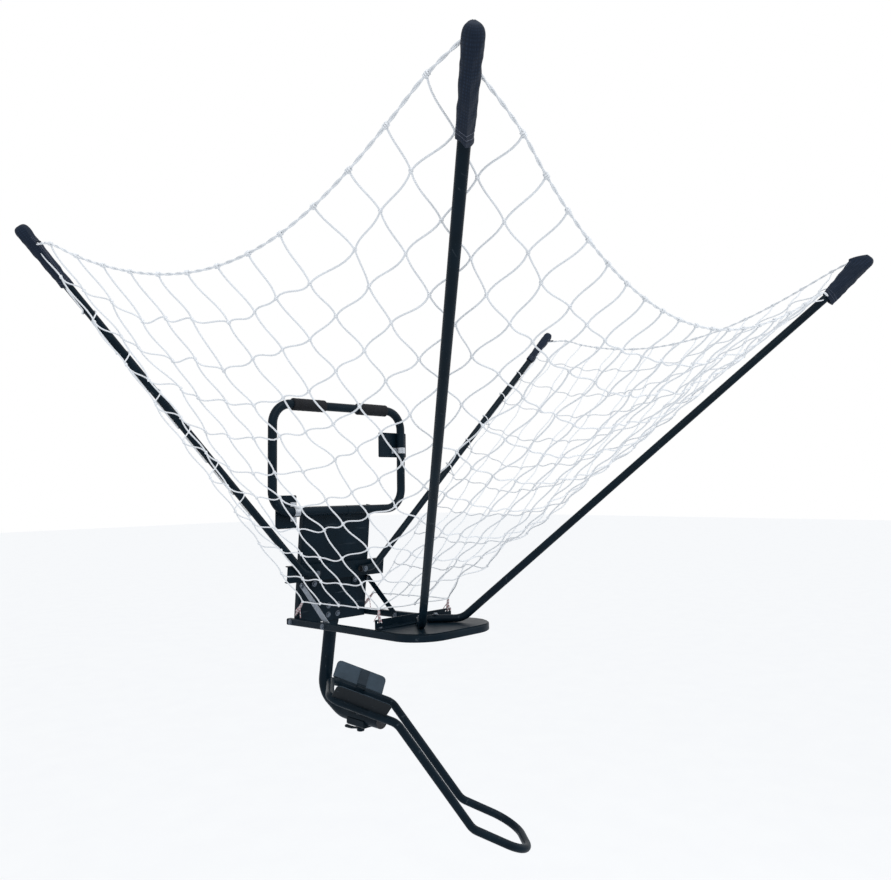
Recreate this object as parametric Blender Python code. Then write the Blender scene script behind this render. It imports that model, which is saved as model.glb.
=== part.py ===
"""A basketball return net: a steel frame that hangs under a goal, a netting funnel, and a swivelling chute.

Metres, +Z up. The origin is the middle of the hanger loop's top bar, from which the whole frame hangs.
The player stands toward -Y. Three sub-frames hold what is bolted together at an angle: the back plate
leans, the base frame rises to the front, and the chute is turned about its upright pivot bolt.
"""

import math

import bmesh
import bpy
from mathutils import Matrix, Vector

# Clearances shared by all pieces
SEAT_GAP = 0.0003
CUT_OVERRUN = 0.002
HOLE_PLAY = 0.0004

# Hanger loop: a closed rounded rectangle of round tube
LOOP_TUBE = 0.028
LOOP_HALF_WIDTH = 0.260
LOOP_DROP = 0.333
LOOP_CORNER = 0.065

# Rubber sleeves on the top bar
RUBBER_WALL = 0.005
RUBBER_INNER_END = 0.067
RUBBER_END_CLEARANCE = 0.005
RUBBER_CHAMFER = 0.0015

# Clamp plates behind the loop, and the zinc straps that hold them to it
CLAMP_SHEET = 0.004
CLAMP_CORNER = 0.004
LEFT_CLAMP_WIDTH = 0.075
LEFT_CLAMP_HEIGHT = 0.102
LEFT_CLAMP_INSET = 0.0595
LEFT_STRAP_INSET = 0.084
RIGHT_CLAMP_WIDTH = 0.124
RIGHT_CLAMP_HEIGHT = 0.085
RIGHT_CLAMP_INSET = 0.024
RIGHT_CLAMP_DROP = 0.1155
RIGHT_STRAP_DROP = 0.1345
STRAP_SHEET = 0.002
STRAP_WIDTH = 0.020
STRAP_FOOT = 0.014

# Back plate: folded sheet, leaning with its lower end back
PLATE_LEAN = math.radians(5.4)
PLATE_SHEET = 0.003
PLATE_HALF_WIDTH = 0.1352
PLATE_RISE = 0.013
PLATE_LENGTH = 0.3575
PLATE_FLANGE = 0.022
PLATE_FOLD = 0.005
PLATE_EAR_HEIGHT = 0.022
PIVOT_INSET = 0.0125
PIVOT_RISE = 0.010

# Crossbar: a channel on the front of the plate that carries the rear poles
CROSSBAR_HALF_LENGTH = 0.193
CROSSBAR_DROP = 0.194
CROSSBAR_HEIGHT = 0.052
CROSSBAR_DEPTH = 0.014
CROSSBAR_SHEET = 0.003
CROSSBAR_TAB_WIDTH = 0.026
CROSSBAR_TAB_DROP = 0.024
CROSSBAR_BOLT_OFFSET = 0.082

# Poles: round tube, bent at the foot
POLE_TUBE = 0.022
POLE_BEND = 0.060
REAR_FOOT_END = 0.085
REAR_FOOT_BEND = 0.138
REAR_TIP = Vector((1.005, -0.090, 0.354))
FRONT_FOOT_BEND = 0.080
FRONT_FOOT_SETBACK = 0.072
FRONT_FOOT_LENGTH = 0.100
FRONT_TIP = Vector((0.830, -1.370, 0.368))

# Fabric sleeves on the pole tips
TIP_SLEEVE_LENGTH = 0.165
TIP_SLEEVE_DIAMETER = 0.033
TIP_SLEEVE_HEM = 0.028
TIP_SLEEVE_CROWN = 0.012
TIP_SLEEVE_SHOULDER = 0.0104

# Base: U-bent square tube, its foot shelf and the bar that the net is tied to
BASE_RISE = math.radians(1.4)
BASE_TUBE = 0.020
BASE_TUBE_EDGE = 0.004
BASE_TAIL = 0.019
BASE_STRAIGHT = 0.216
BASE_REACH = 0.591
BASE_SPLAY = 0.0125
BASE_CORNER = 0.090
SHELF_SHEET = 0.002
SHELF_INSET = 0.003
NET_BAR_SETBACK = 0.189
NET_BAR_HALF_LENGTH = 0.150
NET_BAR_LEG = 0.025
NET_BAR_SHEET = 0.003
NET_BAR_HOLE = 0.005
NET_BAR_HOLE_PITCH = 0.012
NET_BAR_HOLE_INSET = 0.010
NET_BAR_HOLE_DROP = 0.0075

# Struts: flat bars from the plate's ears to the arms
STRUT_SHEET = 0.003
STRUT_WIDTH = 0.019
STRUT_TOP_DROP = 0.2325
STRUT_TOP_REACH = 0.0105
STRUT_LOW_REACH = 0.167

# Support tube: one round tube, flattened where it is bolted behind the plate
SUPPORT_TUBE = 0.042
SUPPORT_FLAT_WIDTH = 0.060
SUPPORT_FLAT_DEPTH = 0.009
SUPPORT_FLAT_LENGTH = 0.062
SUPPORT_TAPER = 0.045
SUPPORT_TOP_DROP = 0.295
SUPPORT_BACK = 0.094
SUPPORT_ELBOW_RISE = 0.0495
SUPPORT_KNEE = 0.004
SUPPORT_DROP = 0.966
SUPPORT_FRONT = 0.192
SUPPORT_ELBOW_BEND = 0.060
SUPPORT_KNEE_BEND = 0.100
SUPPORT_BOLT_OFFSET = 0.019
SUPPORT_BOLT_DROPS = (0.309, 0.338)

# Chute: rails, cradle and wings, about an upright pivot bolt
CHUTE_PIVOT_REACH = 0.093
CHUTE_TURN = math.radians(52.0)
RAIL_TUBE = 0.025
RAIL_HALF_SPAN = 0.118
RAIL_BACK = 0.093
RAIL_BACK_RISE = 0.088
RAIL_BROW = 0.105
RAIL_BROW_RISE = 0.005
RAIL_TOE = 0.328
RAIL_TOE_FALL = 0.314
RAIL_TIP = 0.508
RAIL_TIP_FALL = 0.403
RAIL_BEND = 0.060
RAIL_BACK_CORNER = 0.040
RAIL_TIP_CORNER = 0.085
CRADLE_SHEET = 0.003
CRADLE_WIDTH = 0.030
CRADLE_BEND = 0.006
CRADLE_RISE = 0.010
WING_SHEET = 0.002
WING_LENGTH = 0.172
WING_HEIGHT = 0.066
WING_CORNER = 0.015
WING_FORWARD_SHARE = 0.43
WING_FLARE = math.radians(45.0)
SADDLE_LENGTH = 0.082
SADDLE_WIDTH = 0.046
SADDLE_WALL = 0.006
SADDLE_WRAP = 0.016
SADDLE_EDGE = 0.004
SEAT_WIDTH = 0.046
SEAT_WALL = 0.009
SEAT_WRAP = 0.006
SWIVEL_BOLT = 0.010
SWIVEL_HEAD = 0.022
SWIVEL_CROWN = 0.017
SWIVEL_HEAD_HEIGHT = 0.005
LEVER_BOSS = 0.024
LEVER_BOSS_HEIGHT = 0.017
LEVER_THREAD = 0.013
LEVER_ROD = 0.010
LEVER_LENGTH = 0.080
LEVER_DIP = math.radians(5.0)
LEVER_END_STEP = math.radians(35)

# Netting: square meshes hung from their corners, as cell counts and real sizes
NET_CORD = 0.005
NET_ROWS = 10
NET_SIDE_CELLS = 14
NET_FRONT_CELLS = 22
NET_SEAM_GAP = 0.0002
NET_EASE = 0.0003
NET_SIDE_SAG = 0.205
NET_SIDE_INSET = 0.050
NET_FRONT_SAG = 0.297
NET_FRONT_INSET = 0.100
NET_CORNER_DROP = 0.008
NET_RING_REAR = Vector((0.142, 0.012, -0.612))
NET_RING_FRONT_HALF = 0.138
NET_RING_FRONT_DROP = 0.600
NET_RING_SETBACK = 0.057
TIE_CORD = 0.003
TIE_REAR_RISE = 0.030

# Bolts: shank diameter, head width across corners, head height, nut height
SMALL_BOLT = (0.005, 0.010, 0.0035, 0.004)
FRAME_BOLT = (0.007, 0.014, 0.005, 0.006)

# Facet counts
ROUND_STEPS = 12
WIDE_STEPS = 16
BEND_STEPS = 5
CORNER_STEPS = 3
BOLT_STEPS = 6
SMOOTH_ANGLE = math.radians(35)
STEEP_COSINE = math.cos(math.radians(45))

# Colours as linear RGB, roughness, metallic
PAINT = ((0.012, 0.018, 0.026), 0.42, 0.0)
CHUTE_PAINT = ((0.030, 0.043, 0.058), 0.45, 0.0)
ZINC = ((0.42, 0.44, 0.47), 0.38, 1.0)
BOLT_STEEL = ((0.30, 0.32, 0.35), 0.40, 1.0)
RUBBER = ((0.010, 0.010, 0.012), 0.80, 0.0)
FABRIC = ((0.010, 0.011, 0.022), 0.92, 0.0)
TWINE = ((0.78, 0.80, 0.82), 0.85, 0.0)

# Sub-frames of what is bolted together at an angle
X, Y, Z = Vector((1, 0, 0)), Vector((0, 1, 0)), Vector((0, 0, 1))
LOOP_RADIUS = LOOP_TUBE / 2
POLE_RADIUS = POLE_TUBE / 2
PLATE_FRONT = LOOP_RADIUS + SEAT_GAP
PLATE_REAR = PLATE_FRONT + PLATE_SHEET
PLATE = Matrix.Translation(-Z * LOOP_DROP) @ Matrix.Rotation(PLATE_LEAN, 4, "X")
BASE_PIVOT = PLATE @ Vector((0, PLATE_FRONT + PIVOT_INSET, PIVOT_RISE - PLATE_LENGTH))
BASE = Matrix.Translation(BASE_PIVOT) @ Matrix.Rotation(-BASE_RISE, 4, "X")
PIVOT = Matrix.Translation(-Y * CHUTE_PIVOT_REACH)
CHUTE = PIVOT @ Matrix.Rotation(CHUTE_TURN, 4, "Z")
ARM_INNER = PLATE_HALF_WIDTH + SEAT_GAP
ARM_MIDDLE = ARM_INNER + BASE_TUBE / 2
SHELF_UNDER = BASE_TUBE / 2 + SEAT_GAP
SHELF_TOP = SHELF_UNDER + SHELF_SHEET

# Lengths and places that follow from the sizes above
RUBBER_LENGTH = LOOP_HALF_WIDTH - LOOP_CORNER - RUBBER_END_CLEARANCE - RUBBER_INNER_END
NET_BAR_REACH = BASE_REACH - NET_BAR_SETBACK
FRONT_FOOT_REACH = BASE_REACH - FRONT_FOOT_SETBACK
NET_RING_FRONT = Vector((NET_RING_FRONT_HALF, NET_RING_SETBACK - NET_BAR_REACH, -NET_RING_FRONT_DROP))


def clear_scene():
    for old in list(bpy.data.objects):
        bpy.data.objects.remove(old, do_unlink=True)


def finish(name, look):
    """A Principled material of one piece, from its colour, roughness and metallic value."""
    colour, roughness, metallic = look
    material = bpy.data.materials.new(name)
    material.use_nodes = True
    shader = material.node_tree.nodes["Principled BSDF"]
    shader.inputs["Base Color"].default_value = (*colour, 1)
    shader.inputs["Roughness"].default_value = roughness
    shader.inputs["Metallic"].default_value = metallic
    material.diffuse_color = (*colour, 1)
    return material


def group(name, place):
    """An empty that carries the pieces of one sub-frame."""
    empty = bpy.data.objects.new(name, None)
    bpy.context.scene.collection.objects.link(empty)
    empty.matrix_world = place
    return empty


def add(name, verts, faces, look=None, parent=None, place=None):
    """An object from points and faces, its normals facing out and its round sides shaded smooth."""
    shape = bmesh.new()
    corners = [shape.verts.new(point) for point in verts]
    for face in faces:
        shape.faces.new([corners[index] for index in face])
    bmesh.ops.recalc_face_normals(shape, faces=shape.faces)
    mesh = bpy.data.meshes.new(name)
    shape.to_mesh(mesh)
    shape.free()
    mesh.shade_smooth()
    mesh.set_sharp_from_angle(angle=SMOOTH_ANGLE)
    obj = bpy.data.objects.new(name, mesh)
    bpy.context.scene.collection.objects.link(obj)
    obj.parent = parent
    if place is not None:
        obj.matrix_local = place
    if look:
        mesh.materials.append(finish(name, look))
    else:
        obj.hide_render = True
        obj.display_type = "WIRE"
    return obj


def circle(radius, steps):
    return ellipse(radius, radius, steps)


def ellipse(across, deep, steps):
    turns = [math.tau * (step + 0.5) / steps for step in range(steps)]
    return [(across * math.cos(turn), deep * math.sin(turn)) for turn in turns]


def round_box(width, height, radius):
    """A rectangle about its centre with rounded corners."""
    outline = []
    for quarter, (right, up) in enumerate(((1, 1), (-1, 1), (-1, -1), (1, -1))):
        for step in range(CORNER_STEPS + 1):
            turn = math.pi / 2 * (quarter + step / CORNER_STEPS)
            outline.append((
                right * (width / 2 - radius) + radius * math.cos(turn),
                up * (height / 2 - radius) + radius * math.sin(turn),
            ))
    return outline


def rounded(corners, radii, closed=False):
    """A route through the corners with each bend rounded to its radius; an open route keeps its ends."""
    route = []
    for index, corner in enumerate(corners):
        if not closed and index in (0, len(corners) - 1):
            route.append(corner)
            continue
        back = (corners[index - 1] - corner).normalized()
        ahead = (corners[(index + 1) % len(corners)] - corner).normalized()
        half = back.angle(ahead) / 2
        reach = radii[index] / math.tan(half)
        centre = corner + (back + ahead).normalized() * radii[index] / math.sin(half)
        first = corner + back * reach - centre
        last = corner + ahead * reach - centre
        sweep_angle = first.angle(last)
        for step in range(BEND_STEPS + 1):
            share = step / BEND_STEPS
            blend = (math.sin((1 - share) * sweep_angle), math.sin(share * sweep_angle))
            route.append(centre + (first * blend[0] + last * blend[1]) / math.sin(sweep_angle))
    return route


def swept(route, sections, up, closed=False):
    """Points and faces of a section carried along a route and mitred at its bends."""
    if not isinstance(sections[0], list):
        sections = [sections] * len(route)
    count, sides = len(route), len(sections[0])
    normal = up.normalized()
    verts = []
    for index, point in enumerate(route):
        before = point - route[index - 1] if index or closed else route[1] - point
        after = route[(index + 1) % count] - point if index + 1 < count or closed else before
        before, after = before.normalized(), after.normalized()
        along = (before + after).normalized()
        normal = (normal - along * normal.dot(along)).normalized()
        across = along.cross(normal)
        bend = (after - before).normalized()
        stretch = 1 / along.dot(after) - 1
        for a, b in sections[index]:
            offset = across * a + normal * b
            verts.append(point + offset + bend * offset.dot(bend) * stretch)
    spans = count if closed else count - 1
    faces = [
        (
            span * sides + side,
            span * sides + (side + 1) % sides,
            (span + 1) % count * sides + (side + 1) % sides,
            (span + 1) % count * sides + side,
        )
        for span in range(spans)
        for side in range(sides)
    ]
    if not closed:
        faces.append(tuple(range(sides)))
        faces.append(tuple(range((count - 1) * sides, count * sides)))
    return verts, faces


def turned(profile, steps):
    """Points and faces of a profile of (radius, height) turned about Z; a zero radius closes it."""
    verts, rings = [], []
    for radius, height in profile:
        rings.append(len(verts))
        if not radius:
            verts.append(Vector((0, 0, height)))
            continue
        verts += [Vector((a, b, height)) for a, b in circle(radius, steps)]
    faces = []
    pairs = list(zip(range(len(profile)), range(1, len(profile))))
    if profile[0][0]:
        pairs.append((len(profile) - 1, 0))
    for low, high in pairs:
        for side in range(steps):
            turn = (side, (side + 1) % steps)
            lower = [rings[low] + (step if profile[low][0] else 0) for step in turn]
            upper = [rings[high] + (step if profile[high][0] else 0) for step in reversed(turn)]
            faces.append(tuple(dict.fromkeys(lower + upper)))
    return verts, faces


def prism_faces(outline):
    """The faces of a prism, whose points are one outline and then the same outline further on."""
    count = len(outline)
    faces = [(side, (side + 1) % count, (side + 1) % count + count, side + count) for side in range(count)]
    return faces + [tuple(range(count)), tuple(range(count, 2 * count))]


def prism(outline, low, high):
    """Points and faces of an outline in XY, extruded along Z."""
    verts = [Vector((a, b, level)) for level in (low, high) for a, b in outline]
    return verts, prism_faces(outline)


def facing(origin, out, up=Z):
    """A placing at origin whose local Z points out, and whose local Y is as near to up as it can be."""
    out = out.normalized()
    side = up.cross(out).normalized()
    upright = out.cross(side)
    return Matrix.Translation(origin) @ Matrix((side, upright, out)).transposed().to_4x4()


def drill(target, bores, parent=None):
    """Cuts round holes through a piece; each bore is (start, end, diameter)."""
    verts, faces = [], []
    for start, end, diameter in bores:
        overrun = (end - start).normalized() * CUT_OVERRUN
        helper = Z if abs((end - start).normalized().z) < STEEP_COSINE else X
        part, sides = swept([start - overrun, end + overrun], circle(diameter / 2, ROUND_STEPS), helper)
        faces += [tuple(index + len(verts) for index in side) for side in sides]
        verts += part
    cut(target, add(target.name + "_bores", verts, faces, parent=parent))


def cut(target, tool, operation="DIFFERENCE"):
    modifier = target.modifiers.new(tool.name, "BOOLEAN")
    modifier.operation = operation
    modifier.object = tool


def bolt(name, size, head, out, grip, parent=None, look=BOLT_STEEL):
    """A hexagon bolt with its nut: its head sits on the point head, facing out. grip is the depth held."""
    shank, width, height, nut = size
    levels = (
        (width / 2, height),
        (width / 2, SEAT_GAP),
        (shank / 2, SEAT_GAP),
        (shank / 2, -grip - SEAT_GAP),
        (width / 2, -grip - SEAT_GAP),
        (width / 2, -grip - SEAT_GAP - nut),
    )
    profile = [(0, height), *levels, (0, -grip - SEAT_GAP - nut)]
    verts, faces = turned(profile, BOLT_STEPS)
    up = Z if abs(out.z) < STEEP_COSINE else X
    return add(name, verts, faces, look, parent, facing(head, out, up))


def round_clear(radius, steps):
    """The corner radius of a faceted bore whose flats still clear a round piece by the seat gap."""
    return (radius + SEAT_GAP) / math.cos(math.pi / steps)


def hole_of(size):
    return size[0] + 2 * HOLE_PLAY


def sides():
    """The object's left (-X) and right (+X) side, each with its sign."""
    return (("left", -1), ("right", 1))


def at_side(sign, point):
    return Vector((sign * point.x, point.y, point.z))


def build_hanger_loop():
    corners = [
        Vector((LOOP_HALF_WIDTH, 0, 0)),
        Vector((LOOP_HALF_WIDTH, 0, -LOOP_DROP)),
        Vector((-LOOP_HALF_WIDTH, 0, -LOOP_DROP)),
        Vector((-LOOP_HALF_WIDTH, 0, 0)),
    ]
    route = rounded(corners, [LOOP_CORNER] * len(corners), closed=True)
    verts, faces = swept(route, circle(LOOP_RADIUS, ROUND_STEPS), Y, closed=True)
    add("hanger_loop", verts, faces, PAINT)
    inner = round_clear(LOOP_RADIUS, WIDE_STEPS)
    outer = inner + RUBBER_WALL
    profile = [
        (inner, 0),
        (outer - RUBBER_CHAMFER, 0),
        (outer, RUBBER_CHAMFER),
        (outer, RUBBER_LENGTH - RUBBER_CHAMFER),
        (outer - RUBBER_CHAMFER, RUBBER_LENGTH),
        (inner, RUBBER_LENGTH),
    ]
    for side, sign in sides():
        verts, faces = turned(profile, WIDE_STEPS)
        place = facing(X * sign * RUBBER_INNER_END, X * sign)
        add("hanger_sleeve_" + side, verts, faces, RUBBER, place=place)


def build_clamp(side, plate_centre, width, height, strap_centre, along):
    """A bearing plate behind the loop tube, with a strap over the tube that runs along X or Z there."""
    bearing = LOOP_RADIUS + SEAT_GAP
    place = facing(plate_centre + Y * bearing, Y)
    verts, faces = prism(round_box(width, height, CLAMP_CORNER), 0, CLAMP_SHEET)
    plate = add("clamp_plate_" + side, verts, faces, PAINT, place=place)
    across = along.cross(Y)
    ring = LOOP_RADIUS + SEAT_GAP + STRAP_SHEET / 2
    foot = bearing - SEAT_GAP - STRAP_SHEET / 2
    route = [across * (ring + STRAP_FOOT) + Y * foot, across * ring + Y * foot]
    for step in range(2 * BEND_STEPS + 1):
        turn = math.pi * step / (2 * BEND_STEPS)
        route.append(across * ring * math.cos(turn) - Y * ring * math.sin(turn))
    route += [Y * foot - across * ring, Y * foot - across * (ring + STRAP_FOOT)]
    route = [strap_centre + point for point in route]
    section = [(a * STRAP_SHEET / 2, b * STRAP_WIDTH / 2) for a, b in ((1, 1), (-1, 1), (-1, -1), (1, -1))]
    verts, faces = swept(route, section, along)
    strap = add("clamp_strap_" + side, verts, faces, ZINC)
    bores = []
    reach = ring + (STRAP_FOOT + STRAP_SHEET / 2) / 2
    names = ("upper", "lower") if along == X else ("outer", "inner")
    grip = STRAP_SHEET + SEAT_GAP + CLAMP_SHEET
    for name, sign in zip(names, (1, -1)):
        head = strap_centre + across * sign * reach + Y * (foot - STRAP_SHEET / 2)
        bolt("clamp_bolt_" + side + "_" + name, SMALL_BOLT, head, -Y, grip, look=ZINC)
        bores.append((head, head + Y * grip, hole_of(SMALL_BOLT)))
    drill(plate, bores)
    drill(strap, bores)


def build_clamps():
    left = Vector((LEFT_CLAMP_INSET - LOOP_HALF_WIDTH, 0, -LOOP_DROP))
    strap = Vector((LEFT_STRAP_INSET - LOOP_HALF_WIDTH, 0, -LOOP_DROP))
    build_clamp("left", left, LEFT_CLAMP_WIDTH, LEFT_CLAMP_HEIGHT, strap, X)
    right = Vector((LOOP_HALF_WIDTH - RIGHT_CLAMP_INSET, 0, -RIGHT_CLAMP_DROP))
    strap = Vector((LOOP_HALF_WIDTH, 0, -RIGHT_STRAP_DROP))
    build_clamp("right", right, RIGHT_CLAMP_WIDTH, RIGHT_CLAMP_HEIGHT, strap, Z)


def ear_outer():
    """How far out the ears' outer faces lie, just inside the struts."""
    return ARM_INNER - SEAT_GAP - STRUT_SHEET - SEAT_GAP


def strut_top():
    return Vector((0, PLATE_FRONT - STRUT_TOP_REACH, -STRUT_TOP_DROP))


def support_bolts():
    return [(sign * SUPPORT_BOLT_OFFSET, drop) for sign in (-1, 1) for drop in SUPPORT_BOLT_DROPS]


def build_back_plate(parent):
    """The folded sheet: a web with two rearward flanges, and an ear for each strut."""
    middle = PLATE_SHEET / 2
    fold = PLATE_FOLD - middle
    corners = [
        Vector((PLATE_HALF_WIDTH - middle, PLATE_FRONT + PLATE_FLANGE, 0)),
        Vector((PLATE_HALF_WIDTH - middle, PLATE_FRONT + middle, 0)),
        Vector((middle - PLATE_HALF_WIDTH, PLATE_FRONT + middle, 0)),
        Vector((middle - PLATE_HALF_WIDTH, PLATE_FRONT + PLATE_FLANGE, 0)),
    ]
    route = rounded(corners, [fold] * len(corners))
    top, low = PLATE_RISE, -PLATE_LENGTH
    route = [point + Z * (top + low) / 2 for point in route]
    half = (top - low) / 2
    section = [(a * middle, b * half) for a, b in ((1, 1), (-1, 1), (-1, -1), (1, -1))]
    verts, faces = swept(route, section, Z)
    plate = add("back_plate", verts, faces, PAINT, parent)
    for side, sign in sides():
        eye = strut_top()
        tip = PLATE_EAR_HEIGHT / 2
        outline = [(PLATE_FRONT + middle, tip + eye.z), (PLATE_FRONT + middle, eye.z - tip)]
        for step in range(2 * CORNER_STEPS + 1):
            turn = math.pi * (1 + 2 * (step / (2 * CORNER_STEPS) + 0.5)) / 2
            outline.append((eye.y + tip * math.cos(turn), eye.z - tip * math.sin(turn)))
        ear_middle = sign * (ear_outer() - middle)
        points = [Vector((ear_middle + thick * middle, a, b)) for thick in (-1, 1) for a, b in outline]
        faces = prism_faces(outline)
        cut(plate, add("ear_" + side, points, faces, parent=parent), "UNION")
    bores = []
    for sign in (-1, 1):
        outside = Vector((sign * PLATE_HALF_WIDTH, PLATE_FRONT + PIVOT_INSET, PIVOT_RISE - PLATE_LENGTH))
        bores.append((outside, outside - X * sign * PLATE_SHEET, hole_of(FRAME_BOLT)))
        eye = strut_top()
        inner = Vector((sign * (ear_outer() - PLATE_SHEET), eye.y, eye.z))
        bores.append((inner, inner + X * sign * PLATE_SHEET, hole_of(FRAME_BOLT)))
        start = Vector((sign * CROSSBAR_BOLT_OFFSET, PLATE_FRONT, -crossbar_bolt_drop()))
        bores.append((start, start + Y * PLATE_SHEET, hole_of(FRAME_BOLT)))
    for x, drop in support_bolts():
        start = Vector((x, PLATE_FRONT, -drop))
        bores.append((start, start + Y * PLATE_SHEET, hole_of(FRAME_BOLT)))
    drill(plate, bores, parent)


def crossbar_front():
    return PLATE_FRONT - SEAT_GAP - CROSSBAR_DEPTH


def crossbar_bolt_drop():
    return CROSSBAR_DROP + CROSSBAR_HEIGHT / 2 + CROSSBAR_TAB_DROP / 2


def build_crossbar(parent):
    """A channel, open toward the plate, with two tabs below it that are bolted to the plate."""
    front, rear = crossbar_front(), PLATE_FRONT - SEAT_GAP
    top = CROSSBAR_HEIGHT / 2 - CROSSBAR_DROP
    low = top - CROSSBAR_HEIGHT
    wall = CROSSBAR_SHEET
    outline = [
        (front, low), (rear, low), (rear, low + wall), (front + wall, low + wall),
        (front + wall, top - wall), (rear, top - wall), (rear, top), (front, top),
    ]
    ends = (-CROSSBAR_HALF_LENGTH, CROSSBAR_HALF_LENGTH)
    verts = [Vector((x, y, z)) for x in ends for y, z in outline]
    bar = add("pole_crossbar", verts, prism_faces(outline), PAINT, parent)
    bores = []
    tab = CROSSBAR_TAB_WIDTH / 2
    for side, sign in sides():
        points = round_box(CROSSBAR_TAB_WIDTH, CROSSBAR_TAB_DROP + tab, tab / 2)
        shift = low - (CROSSBAR_TAB_DROP - tab) / 2 - wall / 2
        middle = sign * CROSSBAR_BOLT_OFFSET
        verts = [Vector((middle + a, y, shift + b)) for y in (rear - wall, rear) for a, b in points]
        cut(bar, add("tab_" + side, verts, prism_faces(points), parent=parent), "UNION")
        head = Vector((middle, rear - wall, -crossbar_bolt_drop()))
        grip = wall + SEAT_GAP + PLATE_SHEET
        bolt("crossbar_bolt_" + side, FRAME_BOLT, head, -Y, grip, parent)
        bores.append((head, head + Y * wall, hole_of(FRAME_BOLT)))
        start = rear_bolt(sign) + Y * (POLE_TUBE + SEAT_GAP)
        bores.append((start, start + Y * wall, hole_of(FRAME_BOLT)))
    drill(bar, bores, parent)


def rear_axis():
    """Where the rear poles' feet lie, in the plate's frame: against the crossbar's front."""
    return crossbar_front() - SEAT_GAP - POLE_RADIUS


def rear_bolt(sign):
    """The head point of a rear pole's bolt, midway along its foot, in the plate's frame."""
    reach = (REAR_FOOT_END + REAR_FOOT_BEND - POLE_BEND / 2) / 2
    return Vector((sign * reach, rear_axis() - POLE_RADIUS, -CROSSBAR_DROP))


def pole(name, foot, corner, tip, bores):
    route = rounded([foot, corner, tip], [POLE_BEND] * 3)
    up = (corner - foot).cross(tip - corner)
    verts, faces = swept(route, circle(POLE_RADIUS, ROUND_STEPS), up)
    drill(add(name, verts, faces, PAINT), bores)


def front_corner(sign):
    """The bend of a front pole, whose foot lies on the shelf."""
    rest = SHELF_TOP + SEAT_GAP + POLE_RADIUS
    return BASE @ Vector((sign * FRONT_FOOT_BEND, -FRONT_FOOT_REACH, rest))


def front_foot(sign):
    """The end of a front pole's foot, straight behind its bend and level with it on the shelf."""
    corner = BASE.inverted() @ front_corner(sign)
    tip = BASE.inverted() @ at_side(sign, FRONT_TIP)
    level = Vector((corner.x - tip.x, corner.y - tip.y, 0)).normalized()
    return BASE @ (corner + level * FRONT_FOOT_LENGTH)


def build_poles():
    for side, sign in sides():
        corner = PLATE @ Vector((sign * REAR_FOOT_BEND, rear_axis(), -CROSSBAR_DROP))
        foot = PLATE @ Vector((sign * REAR_FOOT_END, rear_axis(), -CROSSBAR_DROP))
        head = rear_bolt(sign)
        through = PLATE.to_3x3() @ Y
        bores = [(PLATE @ head, PLATE @ head + through * POLE_TUBE, hole_of(FRAME_BOLT))]
        pole("rear_pole_" + side, foot, corner, at_side(sign, REAR_TIP), bores)
        grip = POLE_TUBE + SEAT_GAP + CROSSBAR_SHEET
        bolt("rear_pole_bolt_" + side, FRAME_BOLT, PLATE @ head, -through, grip)
        corner, foot = front_corner(sign), front_foot(sign)
        rise = BASE.to_3x3() @ Z
        middle = foot.lerp(corner, POLE_TUBE / FRONT_FOOT_LENGTH)
        head = middle + rise * POLE_RADIUS
        bores = [(head, head - rise * POLE_TUBE, hole_of(FRAME_BOLT))]
        pole("front_pole_" + side, foot, corner, at_side(sign, FRONT_TIP), bores)
        grip = POLE_TUBE + SEAT_GAP + SHELF_SHEET
        bolt("front_pole_bolt_" + side, FRAME_BOLT, head, rise, grip)


def pole_axes(sign):
    """The tip and the outward direction of the rear and the front pole of one side."""
    rear = PLATE @ Vector((sign * REAR_FOOT_BEND, rear_axis(), -CROSSBAR_DROP))
    axes = {}
    for end, corner, tip in (("rear", rear, REAR_TIP), ("front", front_corner(sign), FRONT_TIP)):
        axes[end] = (at_side(sign, tip), (at_side(sign, tip) - corner).normalized())
    return axes


def build_tip_sleeves():
    """Fabric pockets over the pole tips, each a hollow cap that widens upward."""
    bore = round_clear(POLE_RADIUS, ROUND_STEPS)
    wide, hem = TIP_SLEEVE_DIAMETER / 2, TIP_SLEEVE_HEM / 2
    crown = TIP_SLEEVE_CROWN
    profile = [
        (0, SEAT_GAP),
        (bore, SEAT_GAP),
        (bore, -TIP_SLEEVE_LENGTH),
        (hem, -TIP_SLEEVE_LENGTH),
        ((hem + wide) / 2, -TIP_SLEEVE_LENGTH / 2),
        (wide, -wide),
        (wide, 0),
        (bore, TIP_SLEEVE_SHOULDER),
        (0, crown),
    ]
    for side, sign in sides():
        for end, (tip, out) in pole_axes(sign).items():
            verts, faces = turned(profile, ROUND_STEPS)
            add("tip_sleeve_" + end + "_" + side, verts, faces, FABRIC, place=facing(tip, out))


def base_route():
    corners = [
        Vector((ARM_MIDDLE, BASE_TAIL, 0)),
        Vector((ARM_MIDDLE, -BASE_STRAIGHT, 0)),
        Vector((ARM_MIDDLE + BASE_SPLAY, -BASE_REACH, 0)),
        Vector((-ARM_MIDDLE - BASE_SPLAY, -BASE_REACH, 0)),
        Vector((-ARM_MIDDLE, -BASE_STRAIGHT, 0)),
        Vector((-ARM_MIDDLE, BASE_TAIL, 0)),
    ]
    return rounded(corners, [0, BASE_CORNER, BASE_CORNER, BASE_CORNER, BASE_CORNER, 0])


def arm_middle(reach):
    """How far out an arm's centre line lies at a reach in front of the pivot."""
    share = (reach - BASE_STRAIGHT) / (BASE_REACH - BASE_STRAIGHT)
    return ARM_MIDDLE + BASE_SPLAY * max(share, 0)


def net_bar_bolt(sign):
    reach = NET_BAR_REACH + (NET_BAR_LEG + NET_BAR_SHEET) / 2
    top = SHELF_TOP + SEAT_GAP + NET_BAR_SHEET
    inset = NET_BAR_HALF_LENGTH - SMALL_BOLT[1]
    return Vector((sign * min(arm_middle(reach), inset), -reach, top))


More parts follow.
